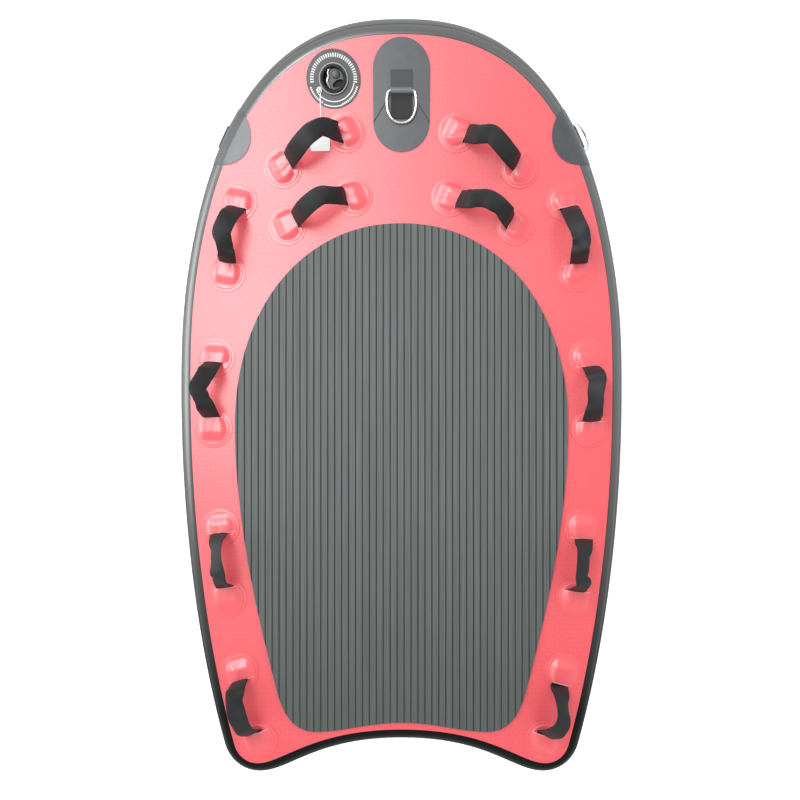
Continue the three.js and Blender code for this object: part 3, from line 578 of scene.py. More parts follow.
pad_upper = superellipse(pad_half_width, pad_widest, pad_top, pad_fullness)
pad_lower = [(pad_half_width, pad_widest)]
for corners, steps in (
        ([pad_lower[0], (pad_half_width, pad_widest - 250), (330, -560), (298.9, -681.8)], 300),
        ([(298.9, -681.8), (284.9, -734.9), (262.1, -pad_tail), (203.9, -pad_tail)], 100),
        ([(203.9, -pad_tail), (140, -pad_tail), (79.8, -759), (0, -759)], 100)):
    pad_lower += bezier(corners, steps)
grooves = math.floor(pad_half_width / groove_pitch)
pad_columns = []
for k in range(-grooves - 1, grooves + 1):
    middle = groove_shift + k * groove_pitch
    for out, drop in groove_columns:
        if abs(middle + out) < pad_half_width - edge_columns[0]:
            pad_columns.append((middle + out, drop))
for edge in edge_columns:
    pad_columns += [(pad_half_width - edge, 0), (edge - pad_half_width, 0)]
pad_columns.sort()
pad_low_xs, pad_low_ys = zip(*sorted(pad_lower))
pad_up_xs, pad_up_ys = zip(*pad_upper)
pad_ends = [(edge_at(pad_low_xs, pad_low_ys, abs(x)), edge_at(pad_up_xs, pad_up_ys, abs(x)))
            for x, _ in pad_columns]


def pad_point(column, row):
    (x, drop), (low, high) = pad_columns[column], pad_ends[column]
    if row in (0, pad_rows):
        drop = 0
    return on_deck(x, low + (high - low) * row / pad_rows, glue_gap + pad_thickness - drop)


def pad_zone(column, row):
    """1 in the grooves and 0 between them."""
    return int(pad_columns[column][1] > 0 or pad_columns[column + 1][1] > 0)


pad = point_up(cloth("foam_pad", len(pad_columns) - 1, pad_rows, pad_point, pad_zone))
upper_count = len(pad.data.vertices)
thicken(pad, pad_thickness)
for above, below in zip(pad.data.vertices[:upper_count], pad.data.vertices[upper_count:]):
    x, station, _ = unbent(above.co)
    below.co = on_deck(x, station, glue_gap)
pad.data.update()
print("pad faces:", len(pad.data.polygons), "grooves:", 2 * grooves)

# %% [markdown]
# ## Where the handles stand
# The twelve handles come in six pairs. Each has a middle on the deck and a heading, and a small
# frame turns its own across and along into the deck's flat drawing.

# %% Handle places
handle_span = 172
# How far out and how far along each pair stands, and its heading in degrees.
places = {
    "bow": (206.35, 605, 62), "chest": (194.7, 465.5, 67), "shoulder": (405.6, 404.2, 10),
    "waist": (449.2, 31.5, 2), "hip": (425.9, -376.7, -6), "tail": (366.6, -719.9, -15),
}


def handle_frame(side, name):
    """A function that turns across, along and height over the deck into a point."""
    out, station, heading = places[name]
    turn = math.radians(heading) * side
    along = (-math.sin(turn), math.cos(turn))
    across = (along[1], -along[0])

    def place(a, b, height):
        x = side * out + a * across[0] + b * along[0]
        return on_deck(x, station + a * across[1] + b * along[1], height)
    return place


# %% [markdown]
# ## Handle straps
# A handle is webbing in a neoprene sleeve. Once it has been gripped, the sleeve keeps its kinks,
# so no two handles stand alike. Each is a row of stations from its rear mouth to its front one:
# across, along and height over the deck, then how far the strap is turned and rolled there. A
# smooth line goes through the stations, and a lens-shaped section follows it.

# %% Strap stations
strap_stations = {
    "left_bow": [
        (-8, -67, 4, 0, 0), (-6, -38, 65, 9, -18), (-16, -4, 83, 11, 0), (-20, 22, 86, 2, -25),
        (-19, 43, 81, -16, -34), (-9, 58, 67, -29, -42), (-3, 66, 48, -27, -42), (-3, 72, 4, -8, 0),
    ],
    "right_bow": [
        (7, -74, 4, 4, 0), (0, -58, 50, 1, 25), (2, -39, 70, 1, 18), (10, -11, 83, 2, 18),
        (15, 12, 86, 4, 22), (8, 29, 80, 12, 38), (2, 48, 61, 15, 31), (9, 66, 4, 6, 0),
    ],
    "left_chest": [
        (-6, -64, 4, 3, 0), (-1, -35, 72, 8, -18), (-8, -6, 85, 3, -13), (-12, 17, 84, -1, -18),
        (-8, 33, 77, -10, -42), (-4, 50, 62, -17, -46), (-4, 62, 44, -14, -34), (-8, 70, 4, -11, 0),
    ],
    "right_chest": [
        (4, -70, 4, -5, 0), (0, -56, 55, -6, 36), (5, -38, 75, -15, 44), (8, -17, 84, -3, 25),
        (9, 3, 86, 0, 22), (3, 25, 80, 0, 42), (-3, 46, 61, 1, 31), (4, 67, 4, -4, 0),
    ],
    "left_shoulder": [
        (-1, -62, 4, -1, 0), (8, -56, 57, 7, -44), (7, -42, 73, 6, -48), (2, -25, 83, 5, -38),
        (-4, -9, 86, 8, -13), (0, 19, 81, -2, -25), (3, 43, 64, -6, -28), (1, 72, 4, -5, 0),
    ],
    "right_shoulder": [
        (8, -66, 4, -7, 0), (-3, -57, 67, -5, 25), (-1, -39, 82, 0, 36), (2, -23, 86, -7, 0),
        (1, 0, 83, 0, 34), (-2, 22, 74, 2, 36), (-2, 47, 54, 0, 34), (6, 71, 4, 4, 0),
    ],
    "left_waist": [
        (-4, -59, 4, 4, 0), (-2, -37, 69, 5, -42), (-9, -15, 83, 5, -44), (-17, 4, 86, 2, -36),
        (-8, 26, 80, 5, -42), (-1, 49, 63, 4, -40), (-4, 74, 4, -1, 0),
    ],
    "right_waist": [
        (2, -70, 4, 1, 0), (-4, -50, 60, 1, 44), (-4, -25, 78, 2, 50), (-5, -5, 84, 1, 44),
        (-2, 12, 86, 0, 36), (1, 27, 81, -2, 36), (-1, 43, 65, 1, 40), (8, 63, 4, 1, 0),
    ],
    "left_hip": [
        (-3, -58, 4, 4, 0), (5, -34, 69, -10, 34), (4, -15, 85, -17, 18), (4, 7, 85, -3, 36),
        (3, 32, 77, -4, 46), (3, 57, 58, 1, 40), (-4, 73, 4, -2, 0),
    ],
    "right_hip": [
        (0, -68, 4, -3, 0), (-5, -40, 76, 8, -22), (-12, -20, 86, 12, -36), (-11, -1, 84, 6, -34),
        (-10, 21, 76, 6, -38), (-7, 43, 58, 6, -34), (5, 59, 4, 5, 0),
    ],
    "left_tail": [
        (-5, -65, 4, 9, 0), (-5, -41, 60, 3, 0), (-7, -18, 77, -6, 0), (-7, 4, 85, -10, -13),
        (-7, 26, 85, -10, -31), (-6, 46, 79, -6, -42), (-2, 61, 59, -2, -30), (-3, 66, 4, 1, 0),
    ],
    "right_tail": [
        (-5, -72, 4, -16, 0), (-3, -44, 66, -16, 0), (4, -22, 83, -6, -14), (5, -4, 86, -3, -26),
        (0, 14, 83, -5, -36), (-5, 30, 75, -2, -34), (-8, 45, 57, 6, -24), (-2, 50, 4, 11, 0),
    ],
}

# %% Straps
strap_width, strap_thickness, tongue_width, tongue_thickness = 42, 6.4, 38, 2.6
tongue_height, tongue_reach, strap_sides, strap_steps = 4.8, 12, 20, 6
flat_power, edge_power = 0.75, 1.15
sided = [(side, way, name) for name in places for side, way in ((-1, "left"), (1, "right"))]


def strap_line(stations):
    """Rows of across, along, height, turn, roll, width and thickness from tongue to tongue."""
    full = [(*s, strap_width, strap_thickness) for s in stations]
    ends = []
    for (a, b, _, turn, _), sign in ((stations[0], -1), (stations[-1], 1)):
        tongue = (turn, 0, tongue_width, tongue_thickness)
        inner = (a, sign * (handle_span / 2 + tongue_reach), tongue_height, *tongue)
        mouth = (a, b + sign * 5, tongue_height, *tongue)
        ends.append((inner, mouth))
    return smooth_through([*ends[0], *full, *ends[1][::-1]], strap_steps)


def signed_power(value, power):
    return math.copysign(abs(value) ** power, value)


def strap_piece(name, place, stations):
    rows = strap_line(stations)
    centres = [place(*row[:3]) for row in rows]

    def point(column, row):
        a, b, height, turn, roll, width, thickness = rows[row]
        turn, roll = math.radians(turn), math.radians(roll)
        centre = centres[row]
        tangent = (centres[min(len(rows) - 1, row + 1)] - centres[max(0, row - 1)]).normalized()
        level = place(a + math.cos(turn), b + math.sin(turn), height) - centre
        up = place(a, b, height + 1) - centre
        wide = level / MM * math.cos(roll) + up / MM * math.sin(roll)
        wide = (wide - tangent * wide.dot(tangent)).normalized()
        high = wide.cross(tangent)
        angle = 2 * math.pi * column / strap_sides
        across = signed_power(math.cos(angle), flat_power) * width / 2
        out = signed_power(math.sin(angle), edge_power) * thickness / 2
        if row in (0, len(rows) - 1):
            out = 0
        return centre + wide * across * MM + high * out * MM
    return cloth(name, strap_sides, len(rows) - 1, point)


straps = {}
for side, way, name in sided:
    key = f"{way}_{name}"
    straps[key] = strap_piece(f"{key}_sleeve", handle_frame(side, name), strap_stations[key])
print("straps:", len(straps))

# %% [markdown]
# ## Handle patches
# Each end of a strap is held by two welded discs and a hood of the same red cloth. The discs are
# turned flat. The hood is a grid whose height swells from its back to its mouth, with soft creases
# that the pull of the strap leaves, and the edge at its mouth is painted paler, as a painted
# highlight. The two are joined, and then laid onto the deck. Joined pieces keep their materials, so
# these are named here, before they are made.

# %% Hoods
disc_profile = [
    (46, 0.3), (46, 1.2), (45.5, 1.7), (44.5, 1.8), (39.4, 1.8), (38.6, 2), (38.2, 2.7),
    (37.5, 3.1), (36.5, 3.2), (28, 3.2), (19, 3.2), (10, 3.2), (3, 3.2), (axis_radius, 3.2),
]
hood_radius, hood_top, disc_top, hood_thickness = 38, 11.2, 3.2, 1.1
hood_columns, hood_rows, hem_rows = 36, 26, 3
# The hood rises from this far behind its middle, over this length, to a top this wide each way.
rise_start, rise_length, flat_top = -32, 27, 16
hood_paint, mouth_highlight_paint = (
    bpy.data.materials.new(name) for name in ("smooth red cloth", "painted mouth highlight"))


def hood(name, mouth, side_shift, seed):
    """The upper disc, swollen over a strap's tongue and cut off at its mouth, with soft creases."""
    chance = random.Random(seed)
    creases = [(chance.uniform(-16, 16), chance.uniform(-0.6, 0.6), chance.uniform(-0.7, 1.1),
                chance.uniform(3, 6)) for _ in range(5)]

    def point(column, row):
        along = row / hood_rows
        x = -hood_radius + (hood_radius + mouth) * (1 - (1 - along) ** 1.3)
        half_width = max(0.05, math.sqrt(max(0, hood_radius**2 - x * x)))
        y = math.sin(math.pi / 2 * (2 * column / hood_columns - 1)) * half_width
        off = y - side_shift * max(0, x) / mouth
        rise = min(1, max(0, (x - rise_start) / rise_length))
        swell = rise * rise * (3 - 2 * rise)
        over = max(0, abs(off) - flat_top) / max(6, half_width * 0.95 - flat_top)
        crown = 1 / (1 + (1.5 * over) ** 4) - 0.16 * over
        crown *= max(0, 1 - (abs(y) / (half_width + 0.01)) ** 6)
        height = disc_top + (hood_top - disc_top) * swell * max(0, crown)
        for middle, slant, strength, width in creases:
            away = (off - middle - slant * (mouth - x)) / width
            height += strength * math.exp(-away * away) * swell * max(0, crown)
        return Vector((x, y, height)) * MM

    # The last rows at the mouth get the painted highlight.
    def zone(column, row):
        return int(row > hood_rows - hem_rows)
    piece = point_up(cloth(name, hood_columns, hood_rows, point, zone))
    paint(piece, hood_paint, mouth_highlight_paint)
    return thicken(piece, hood_thickness, 0)


# %% Patches
narrowest_mouth, widest_mouth = 13, 30


def lay_patch(piece, place, way):
    """Moves a patch drawn round the origin, with +X to the handle, onto the deck."""
    for vertex in piece.data.vertices:
        x, y, z = vertex.co / MM
        vertex.co = place(way * y, way * (handle_span / 2 - x), z)
    piece.data.update()
    take(piece)
    edit_all()
    close_outwards()


patches = {}
for seed, (side, way, name) in enumerate(sided):
    stations = strap_stations[f"{way}_{name}"]
    for end, sign, (a, b, *_) in (("front", 1, stations[-1]), ("rear", -1, stations[0])):
        disc = turned("disc", disc_profile, 64, Matrix.Identity(4))
        paint(disc, hood_paint)
        mouth = min(widest_mouth, max(narrowest_mouth, handle_span / 2 - abs(b) + 1))
        cover = hood("cover", mouth, sign * a, 2 * seed + (sign > 0))
        patch = join(f"{way}_{name}_{end}_hood", disc, cover)
        lay_patch(patch, handle_frame(side, name), sign)
        patches[f"{way}_{name}_handle_{end}_patch"] = patch
print("handle patches:", len(patches))

# %% [markdown]
# ## The nose's towing point
# A long patch with round ends is glued down the middle of the nose. A shorter one covers its front
# half, and its rear edge is cut to an open V, so that the webbing comes out between its points. A
# dark strip along that edge is painted shadow. Both are grids whose width follows the round ends.

# %% Nose patches
tow_half_width, patch_high, patch_low, layer_step, layer_thickness = 66, 846, 601, 1.3, 0.95
bar_station, overlay_side, overlay_middle, overlay_flat, shadow_strip_width = 735, 70, 11, 0.42, 3.2
patch_rows, overlay_rows, half_columns = 70, 40, 12


def round_end_width(station):
    past = max(0, station - (patch_high - tow_half_width), patch_low + tow_half_width - station)
    return math.sqrt(max(0, tow_half_width**2 - past**2))


def nose_patch_point(column, row):
    middle, reach = (patch_high + patch_low) / 2, (patch_high - patch_low) / 2
    station = middle - reach * math.cos(math.pi * row / patch_rows)
    return on_deck(round_end_width(station) * (column / half_columns - 1), station, layer_step)


def overlay_point(column, row):
    across = column / half_columns - 1
    lean = max(0, (abs(across) - overlay_flat) / (1 - overlay_flat))
    rear = bar_station - overlay_middle - (overlay_side - overlay_middle) * lean
    start = rear + shadow_strip_width if row else rear
    share = math.sin(math.pi / 2 * max(0, row - 1) / (overlay_rows - 1))
    station = start + (patch_high - start) * share
    return on_deck(round_end_width(station) * across, station, 2 * layer_step)


nose_patch = cloth("nose_base_patch", 2 * half_columns, patch_rows, nose_patch_point)
thicken(point_up(nose_patch), layer_thickness)
# The cover's first row is the painted shadow along its rear edge.
overlay = cloth("nose_cover_patch", 2 * half_columns, overlay_rows, overlay_point,
                lambda column, row: int(row == 0))
thicken(point_up(overlay), layer_thickness)
print("nose patches:", len(nose_patch.data.polygons), "and", len(overlay.data.polygons), "faces")

# %% [markdown]
# ## Webbing
# A short length of 50 mm webbing is stitched down on both sides of a ring's bar and rises over it
# in a hump. One function makes the hump's line and another sweeps the webbing along it, for the
# nose and for both shoulders.

# %% Webbing
webbing_half, webbing_thickness, wire_radius, bar_play = 25, 2, 3, 1.2
webbing_rest = glue_gap + webbing_thickness / 2
flat_steps, hump_steps = 12, 14


def hump_line(front, rear, bar):
    """The webbing's middle line over a bar: how far along, and how high."""
    radius = wire_radius + bar_play + webbing_thickness / 2
    lift = (-overlay_middle - webbing_thickness, front[1])
    line = [(rear[0] + (lift[0] - 6 - rear[0]) * k / flat_steps, rear[1])
            for k in range(flat_steps + 1)]
    line.append(lift)
    for k in range(hump_steps + 1):
        turn = math.pi * (1 - k / hump_steps)
        line.append((radius * math.cos(turn), bar + radius * math.sin(turn)))
    foot = radius + webbing_thickness
    return line + [(foot + (front[0] - foot) * k / flat_steps, front[1])
                   for k in range(flat_steps + 1)]


def webbing_zone(column, row):
    """1 for the part behind the bar, with painted shade, 2 for the hump over it, with a painted
    highlight, and 0 for the part in front.
    """
    hump = flat_steps + 2
    return 1 if row < hump else 2 if row < hump + hump_steps + 1 else 0


def webbing_piece(name, line, place, zone=None):
    def point(column, row):
        return place((column / 8 - 1) * webbing_half, *line[row])
    piece = cloth(name, 16, len(line) - 1, point, zone)
    thicken(piece, webbing_thickness, 0)
    bevel_edges(piece, 0.4, 2, 60)
    return piece


nose_bar_height = 2 * layer_step + glue_gap + wire_radius
nose_line = hump_line((44, 2 * layer_step + webbing_rest), (-61, layer_step + webbing_rest),
                      nose_bar_height)
nose_webbing = webbing_piece("nose_webbing", nose_line, lambda across, along, height:
                             on_deck(across, bar_station + along, height), webbing_zone)
print("webbing faces:", len(nose_webbing.data.polygons))

# %% [markdown]
# ## The rings
# A D ring is bent from polished steel wire, 6 mm thick, and its bow is welded to a straight bar.
# It is drawn once as a closed wire and copied to its three places, each with a mesh of its own.


# %% Rings
def ring_line():
    """The bar's two ends, the bowed sides and the round end, as one closed line."""
    side = [(26.2, 0), (29.6, 1.6), (31.9, 6), (33.5, 13), (34, 22), (33.6, 34), (31.2, 45)]
    side += [(26.8, 55), (20.4, 62.6), (12.4, 67.2), (4, 68.9)]
    line = smooth_through(side + [(-x, y) for x, y in side[::-1]], 4)
    return line + [[x, 0] for x in (-18, -9, 0, 9, 18)]


ring = wire_along("d_ring", [(x * MM, y * MM, 0) for x, y in ring_line()], 2 * wire_radius, True)


def place_ring(name, frame_matrix):
    copy = ring.copy()
    copy.data = ring.data.copy()
    copy.name = copy.data.name = name
    bpy.context.scene.collection.objects.link(copy)
    copy.data.transform(frame_matrix)
    copy.data.update()
    return copy


bar_turn = (bar_station - rocker_start) / rocker_radius
bow_lean = math.radians(2.2)
nose_ring = place_ring("nose_d_ring", Matrix.Translation(on_deck(0, bar_station, nose_bar_height))
                       @ Matrix.Rotation(bar_turn + math.pi - bow_lean, 4, "X"))
print("nose ring's bar at", [round(v, 4) for v in on_deck(0, bar_station, nose_bar_height)])

# %% [markdown]
# ## Shoulder towing points
# On each shoulder a patch with round ends is wrapped round the rail from the deck to the bottom,
# with webbing and a ring on its middle. The place function walks along the nose's curve, down the
# rail's ellipse and out from its wall.

# %% Shoulder places
shoulder_station, patch_inset, overrun = 625, 38, 5
deck_rows, wall_rows = 14, 24


def shoulder_point(side, along, row, out):
    """A point of a patch: how far along the rail, on which row of its section, and how far out."""
    offset, height, across, up = row

    def edge(station):
        return Vector((nose_half_width(station), station))

    def direction(station):
        return (edge(station + overrun) - edge(station)).normalized()
    station = shoulder_station + along * direction(shoulder_station).y
    spread = offset + out * across
    x = edge(station).x + direction(station).y * spread
    return bent(side * x, edge(station).y - direction(station).x * spread, height + out * up)


upper_rows = [(-patch_inset * (1 - k / deck_rows), board_thickness, 0, 1)
              for k in range(deck_rows + 1)]
upper_rows += [wall_section(math.pi / 2 * (1 - k / wall_rows)) for k in range(wall_rows + 1)]
shoulder_rows = list(zip(upper_rows, run_lengths(upper_rows)))
shoulder_rows += [((offset, board_thickness - height, across, -up), run)
                  for (offset, height, across, up), run in shoulder_rows[-2::-1]]


def shoulder_patch_point(side, column, row):
    place, run = shoulder_rows[row]
    past = max(0, tow_half_width - run)
    half_width = math.sqrt(max(9, tow_half_width**2 - past**2))
    return shoulder_point(side, half_width * (column / half_columns - 1), place, 1.9)


# %% [markdown]
# The right ring hangs at the slant that the picture shows, 59 degrees below level. The picture
# hides the left one, so it hangs straight down. A ring's place is a matrix of three directions:
# along its bar, away from the bar, and square to both.

# %% Shoulders
webbing_height = glue_gap + skin_thickness + webbing_rest + 0.9
bar_out = 2 * glue_gap + skin_thickness + wire_radius
shoulder_pieces = {}
for side, way, droop in ((-1, "left", 90), (1, "right", 59)):
    patch = cloth(f"{way}_shoulder_patch", 2 * half_columns, len(shoulder_rows) - 1,
                  lambda column, row: shoulder_patch_point(side, column, row))
    thicken(patch, 1.1, 0)
    line = hump_line((42, webbing_height), (-42, webbing_height), bar_out)
    strap = webbing_piece(
        f"{way}_shoulder_webbing", line, lambda across, along, out:
        shoulder_point(side, across, wall_section(along / rail_half_height), out))
    at_wall = wall_section(0)
    bar = shoulder_point(side, 0, at_wall, bar_out)
    along_bar = (shoulder_point(side, overrun, at_wall, bar_out)
                 - shoulder_point(side, -overrun, at_wall, bar_out)).normalized()
    outwards = (shoulder_point(side, 0, at_wall, bar_out + overrun) - bar).normalized()
    up = outwards.cross(along_bar) * side
    reach = outwards * math.cos(math.radians(droop)) - up * math.sin(math.radians(droop))
    face = along_bar.cross(reach.normalized()).normalized()
    hung = Matrix((along_bar, face.cross(along_bar), face)).transposed().to_4x4()
    d_ring = place_ring(f"{way}_d_ring", Matrix.Translation(bar) @ hung)
    shoulder_pieces[way] = (patch, strap, d_ring)
    print(way, "ring's bar at", [round(v, 4) for v in bar])
bpy.data.objects.remove(ring)

# %% [markdown]
# ## The valve's patch
# A ring of grey cloth is glued round the valve. What is printed on it is plain here: a scale of
# ticks and two thin arcs. Both are drawn flat round the origin and laid on the bent deck. A
# printed band is a grid of cells, and the faces without ink are deleted.

# %% Valve patch
ring_rows = [neck_radius, 33, 38, 43, 48, 53, 58, 61, 62.6, 63]
ring_profile = [(r, 1.3 if r < 62.8 else 1) for r in ring_rows] + [(63, glue_gap)]
ring_profile += [(r, glue_gap) for r in ring_rows[-2::-1]] + [(neck_radius, 1.3)]
ink_height = 1.45


def lay_on_valve(piece):
    for vertex in piece.data.vertices:
        x, y, z = vertex.co / MM
        vertex.co = on_deck(valve_x + x, valve_station + y, z)
    piece.data.update()
    return piece


def printed(inner, outer, start, end, cells, kept=lambda k: True):
    """A printed band in cells, between two angles, of which only the kept ones are inked."""
    def point(column, row):
        angle = math.radians(start + (end - start) * column / cells)
        radius = inner + (outer - inner) * row
        return Vector((radius * math.cos(angle), radius * math.sin(angle), ink_height)) * MM
    piece = point_up(cloth("ticks", cells, 1, point))
    edit_all()
    bpy.ops.mesh.select_all(action="DESELECT")
    bpy.ops.object.mode_set(mode="OBJECT")
    for face in piece.data.polygons:
        angle = math.degrees(math.atan2(face.center.y, face.center.x))
        share = ((angle - start) % 360) / (end - start)
        face.select = not kept(math.floor(share * cells))
    bpy.ops.object.mode_set(mode="EDIT")
    bpy.ops.mesh.delete(type="FACE")
    bpy.ops.object.mode_set(mode="OBJECT")
    return piece


ring_patch = lay_on_valve(turned("valve_patch", ring_profile, 96, Matrix.Identity(4)))
long_ticks = printed(46.2, 54.4, -8, 188, 130, lambda k: k % 4 < 2)
short_ticks = printed(54.4, 58.4, 196, 344, 96, lambda k: k % 3 > 0 and abs(k - 46) > 14)
arcs = [printed(46.6, 48.9, 214, 350, 60), printed(56.8, 59.1, 246, 290, 60)]
ticks = lay_on_valve(join("plain_ticks", long_ticks, short_ticks, *arcs))
print("printed faces:", len(ticks.data.polygons))

# %% [markdown]
# ## The valve's mouldings
# The body is moulded in one piece and welded through the deck. A nut holds it from below, and
# inside it a stem with a disc is pressed up by a spring. Each is turned from a profile of radius
# and height over the deck, and four vents are cut in the body's floor.

# %% Valve mouldings
seat = 2.2
valve_body = turned("valve_body_moulding", [
    (3.3, -43.8), (27.4, -43.8), (28, -43.2), (28, seat), (32.2, seat), (33, seat + 0.8),
    (33, seat + 3.4), (32.6, seat + 4.4), (31.6, seat + 5), (30.8, seat + 4.6), (30.2, seat + 3.9),
    (25.4, seat + 3.9), (25, seat + 3.5), (25, -7.8), (15, -7.8), (15, -13.8), (24, -13.8),
    (24, -40.8), (3.3, -40.8), (3.3, -43.8),
])
for angle in (0, math.pi / 2, math.pi, 3 * math.pi / 2):
    shift = Matrix.Translation(Vector((15.8 * math.cos(angle), 15.8 * math.sin(angle), 0)) * MM)
    cut_away(valve_body, plug("vent", 4.5, -50, -38, 24, valve_place @ shift))
rim_light = turned("flange_rim", [
    (31.3, 7), (31.9, 7.7), (32.9, 7.7), (33.5, 7), (33.5, 5.6), (33, 5.2), (31.3, 5.2), (31.3, 7)])
seal = turned("cap_seal", [
    (17.8, -7.5), (24.4, -7.5), (24.7, -7.2), (24.7, -6.4), (24.4, -6.1), (17.8, -6.1),
    (17.7, -6.8), (17.8, -7.5)])
nut = turned("clamping_nut", [
    (neck_radius, -10.3), (35.4, -10.3), (36, -9.7), (36, -2.9), (35.4, -2.3), (neck_radius, -2.3),
    (neck_radius, -10.3)], 12)
poppet = turned("valve_stem", [
    (axis_radius, -48.8), (2.7, -48.8), (3, -48.5), (3, -17.1), (18.6, -17.1), (19, -16.7),
    (19, -14.5), (18.6, -14.1), (3, -14.1), (3, -10.5), (6.6, -10.5), (7, -10.1), (7, -7.9),
    (6.6, -7.5), (axis_radius, -7.5)])
# The flange's rim is painted lighter, as a painted highlight.
moulding, rim_highlight_paint = (bpy.data.materials.new(name) for name in ("valve nylon", "painted rim highlight"))
paint(valve_body, moulding)
paint(rim_light, rim_highlight_paint)
join("valve_body_moulding", valve_body, rim_light)
print("valve body:", len(valve_body.data.polygons), "faces")

# %% [markdown]
# The spring is a wire wound five times round the stem, from the body's floor to the stem's disc.

# %% Spring
spring_low, spring_high, spring_radius, spring_turns, spring_wire = -39.7, -18.2, 6, 5, 1.6
coil_steps = 120
coil = [valve_place @ (Vector((
    spring_radius * math.cos(2 * math.pi * spring_turns * k / coil_steps),
    spring_radius * math.sin(2 * math.pi * spring_turns * k / coil_steps),
    spring_low + (spring_high - spring_low) * k / coil_steps)) * MM) for k in range(coil_steps + 1)]
spring = wire_along("coiled_spring", coil, spring_wire)
print("spring:", spring_turns, "turns,", spring_high - spring_low, "mm high")

# %% [markdown]
# ## The valve's cap
# The cap is a shallow cup with a curved vane to grip, a raised plate beside it, an oval finger
# hole in the plate and a low hub. The cup and hub are turned. The vane and plate are flat outlines
# that are pulled up and bevelled, and the hole is cut with a Boolean.


# %% Cap outlines
def pulled_up(name, points, low, high):
    """A flat outline, in millimetres round the valve's axis, pulled up into a solid."""
    deselect_all()
    bpy.ops.mesh.primitive_circle_add(vertices=len(points), fill_type="NGON", radius=1)
    piece = just_added(name)
    for vertex, (x, y) in zip(piece.data.vertices, points):
        vertex.co = Vector((x, y, low)) * MM
    piece.data.update()
    edit_all()
    bpy.ops.mesh.extrude_region_move(TRANSFORM_OT_translate={"value": (0, 0, (high - low) * MM)})
    close_outwards()
    return piece


vane_line = smooth_through(
    [(-9, 21), (-12.5, 13), (-11, 5), (-14.5, -3), (-13.5, -10), (-8, -20.5)], 6)
vane_sides = [[], []]
for k, (x, y) in enumerate(vane_line):
    (ax, ay), (bx, by) = vane_line[max(0, k - 1)], vane_line[min(len(vane_line) - 1, k + 1)]
    length = math.hypot(bx - ax, by - ay)
    nx, ny = (by - ay) / length, (ax - bx) / length
    half_width = 1.3 + 0.9 * math.sin(math.pi * k / (len(vane_line) - 1))
    vane_sides[0].append((x + nx * half_width, y + ny * half_width))
    vane_sides[1].append((x - nx * half_width, y - ny * half_width))
plate_radius = 22.6
rim = [(plate_radius * math.cos(a), plate_radius * math.sin(a))
       for a in map(math.radians, range(-112, 113, 6))]
oval = [(10.2 + 12.4 * math.cos(a) + 3 * math.sin(a), -9.6 + 8.6 * math.sin(a) + 2.4 * math.cos(a))
        for a in (2 * math.pi * k / 40 for k in range(40))]
print("outline points of the plate:", len(rim) + len(vane_line))

# %% Cap
cap_floor, plate_top, vane_top = -3.2, 3.4, 8.4
cap = turned("valve_cap_cup", [
    (axis_radius, -5.8), (24, -5.8), (24.6, -5.2), (24.6, 6.6), (25, 7.1), (28.6, 7.2), (29, 7.7),
    (29, 9.2), (28.4, 9.8), (24.2, 9.9), (23.2, 9.5), (22.6, 8.6), (22.4, -1.6), (21.6, -2.8),
    (axis_radius, -2.8),
])
vane = pulled_up("vane", vane_sides[0] + vane_sides[1][::-1], cap_floor, vane_top)
plate = pulled_up("plate", rim + vane_line, cap_floor, plate_top)
cut_away(plate, pulled_up("finger_hole", oval, -6, 6))
for part, width in ((vane, 0.8), (plate, 0.9)):
    bevel_edges(part, width, 3, 50)
    smooth_below(50)
    part.data.transform(valve_place)
    part.data.update()
hub = turned("hub", [
    (axis_radius, 5.6), (7.5, 5.6), (9, 5.2), (9.8, 4.2), (9.9, 3), (axis_radius, 3)], 48,
    valve_place @ Matrix.Translation(Vector((5.5, 9.5, 0)) * MM))
# The cup is painted near black as painted shade, and the vane lighter as a painted highlight.
shaded_cup_paint, vane_highlight_paint, plate_paint = (
    bpy.data.materials.new(name) for name in ("shaded cup nylon", "highlit vane nylon", "plate nylon"))
paint(cap, shaded_cup_paint)
paint(vane, vane_highlight_paint)
paint(plate, plate_paint)
paint(hub, plate_paint)
join("valve_cap_with_vane", cap, vane, plate, hub)
print("cap faces:", len(cap.data.polygons))

# %% [markdown]
# ## The card on the string
# A blank card of 46 by 55 mm hangs on the string and lies on the deck, half under the left bow
# handle. Its corners are rounded, and one side rests on the handle's patch, as in the solid. The
# string is tied at the flange with three small turns, squeezed together.

# %% Card
card_x, card_width, card_length, card_front, corner_radius = -192, 46, 55, 658.7, 4
card_steps = 20


def card_point(column, row):
    share = (1 - math.cos(math.pi * row / card_steps)) / 2
    past = max(0, abs(share - 0.5) * card_length - (card_length / 2 - corner_radius))
    half_width = (card_width / 2 - corner_radius
                  + math.sqrt(max(0, corner_radius**2 - past**2)))
    across = (2 * column / card_steps - 1) * half_width
    lift = 1.6 * (across / card_width + 0.5)
    return on_deck(card_x + across, card_front - card_length * (1 - share), 0.9 + lift)


card = point_up(cloth("blank_card", card_steps, card_steps, card_point))
thicken(card, 0.6)
print("card faces:", len(card.data.polygons))

# %% Knot
knot_turns = []
for size, tilt, shift in ((5, 20, 0), (4.2, 75, 2.6), (3.8, -35, -2.4)):
    deselect_all()
    bpy.ops.mesh.primitive_torus_add(
        major_radius=size * MM, minor_radius=string_diameter / 2 * MM, major_segments=32,
        minor_segments=12, rotation=(math.radians(tilt), math.radians(18), math.radians(tilt)),
        location=on_deck(-190 + shift, 736 + shift / 2, 5.6))
    bpy.ops.object.transform_apply(location=True, rotation=True, scale=True)
    bpy.ops.object.shade_smooth()
    knot_turns.append(bpy.context.object)
knot = join("string_knot", *knot_turns)
print("knot faces:", len(knot.data.polygons))

# %% [markdown]
# ## What each piece stands for
# Every piece rides the body it is fixed to, and each names the solid that it stands for, which
# then isn't shown.

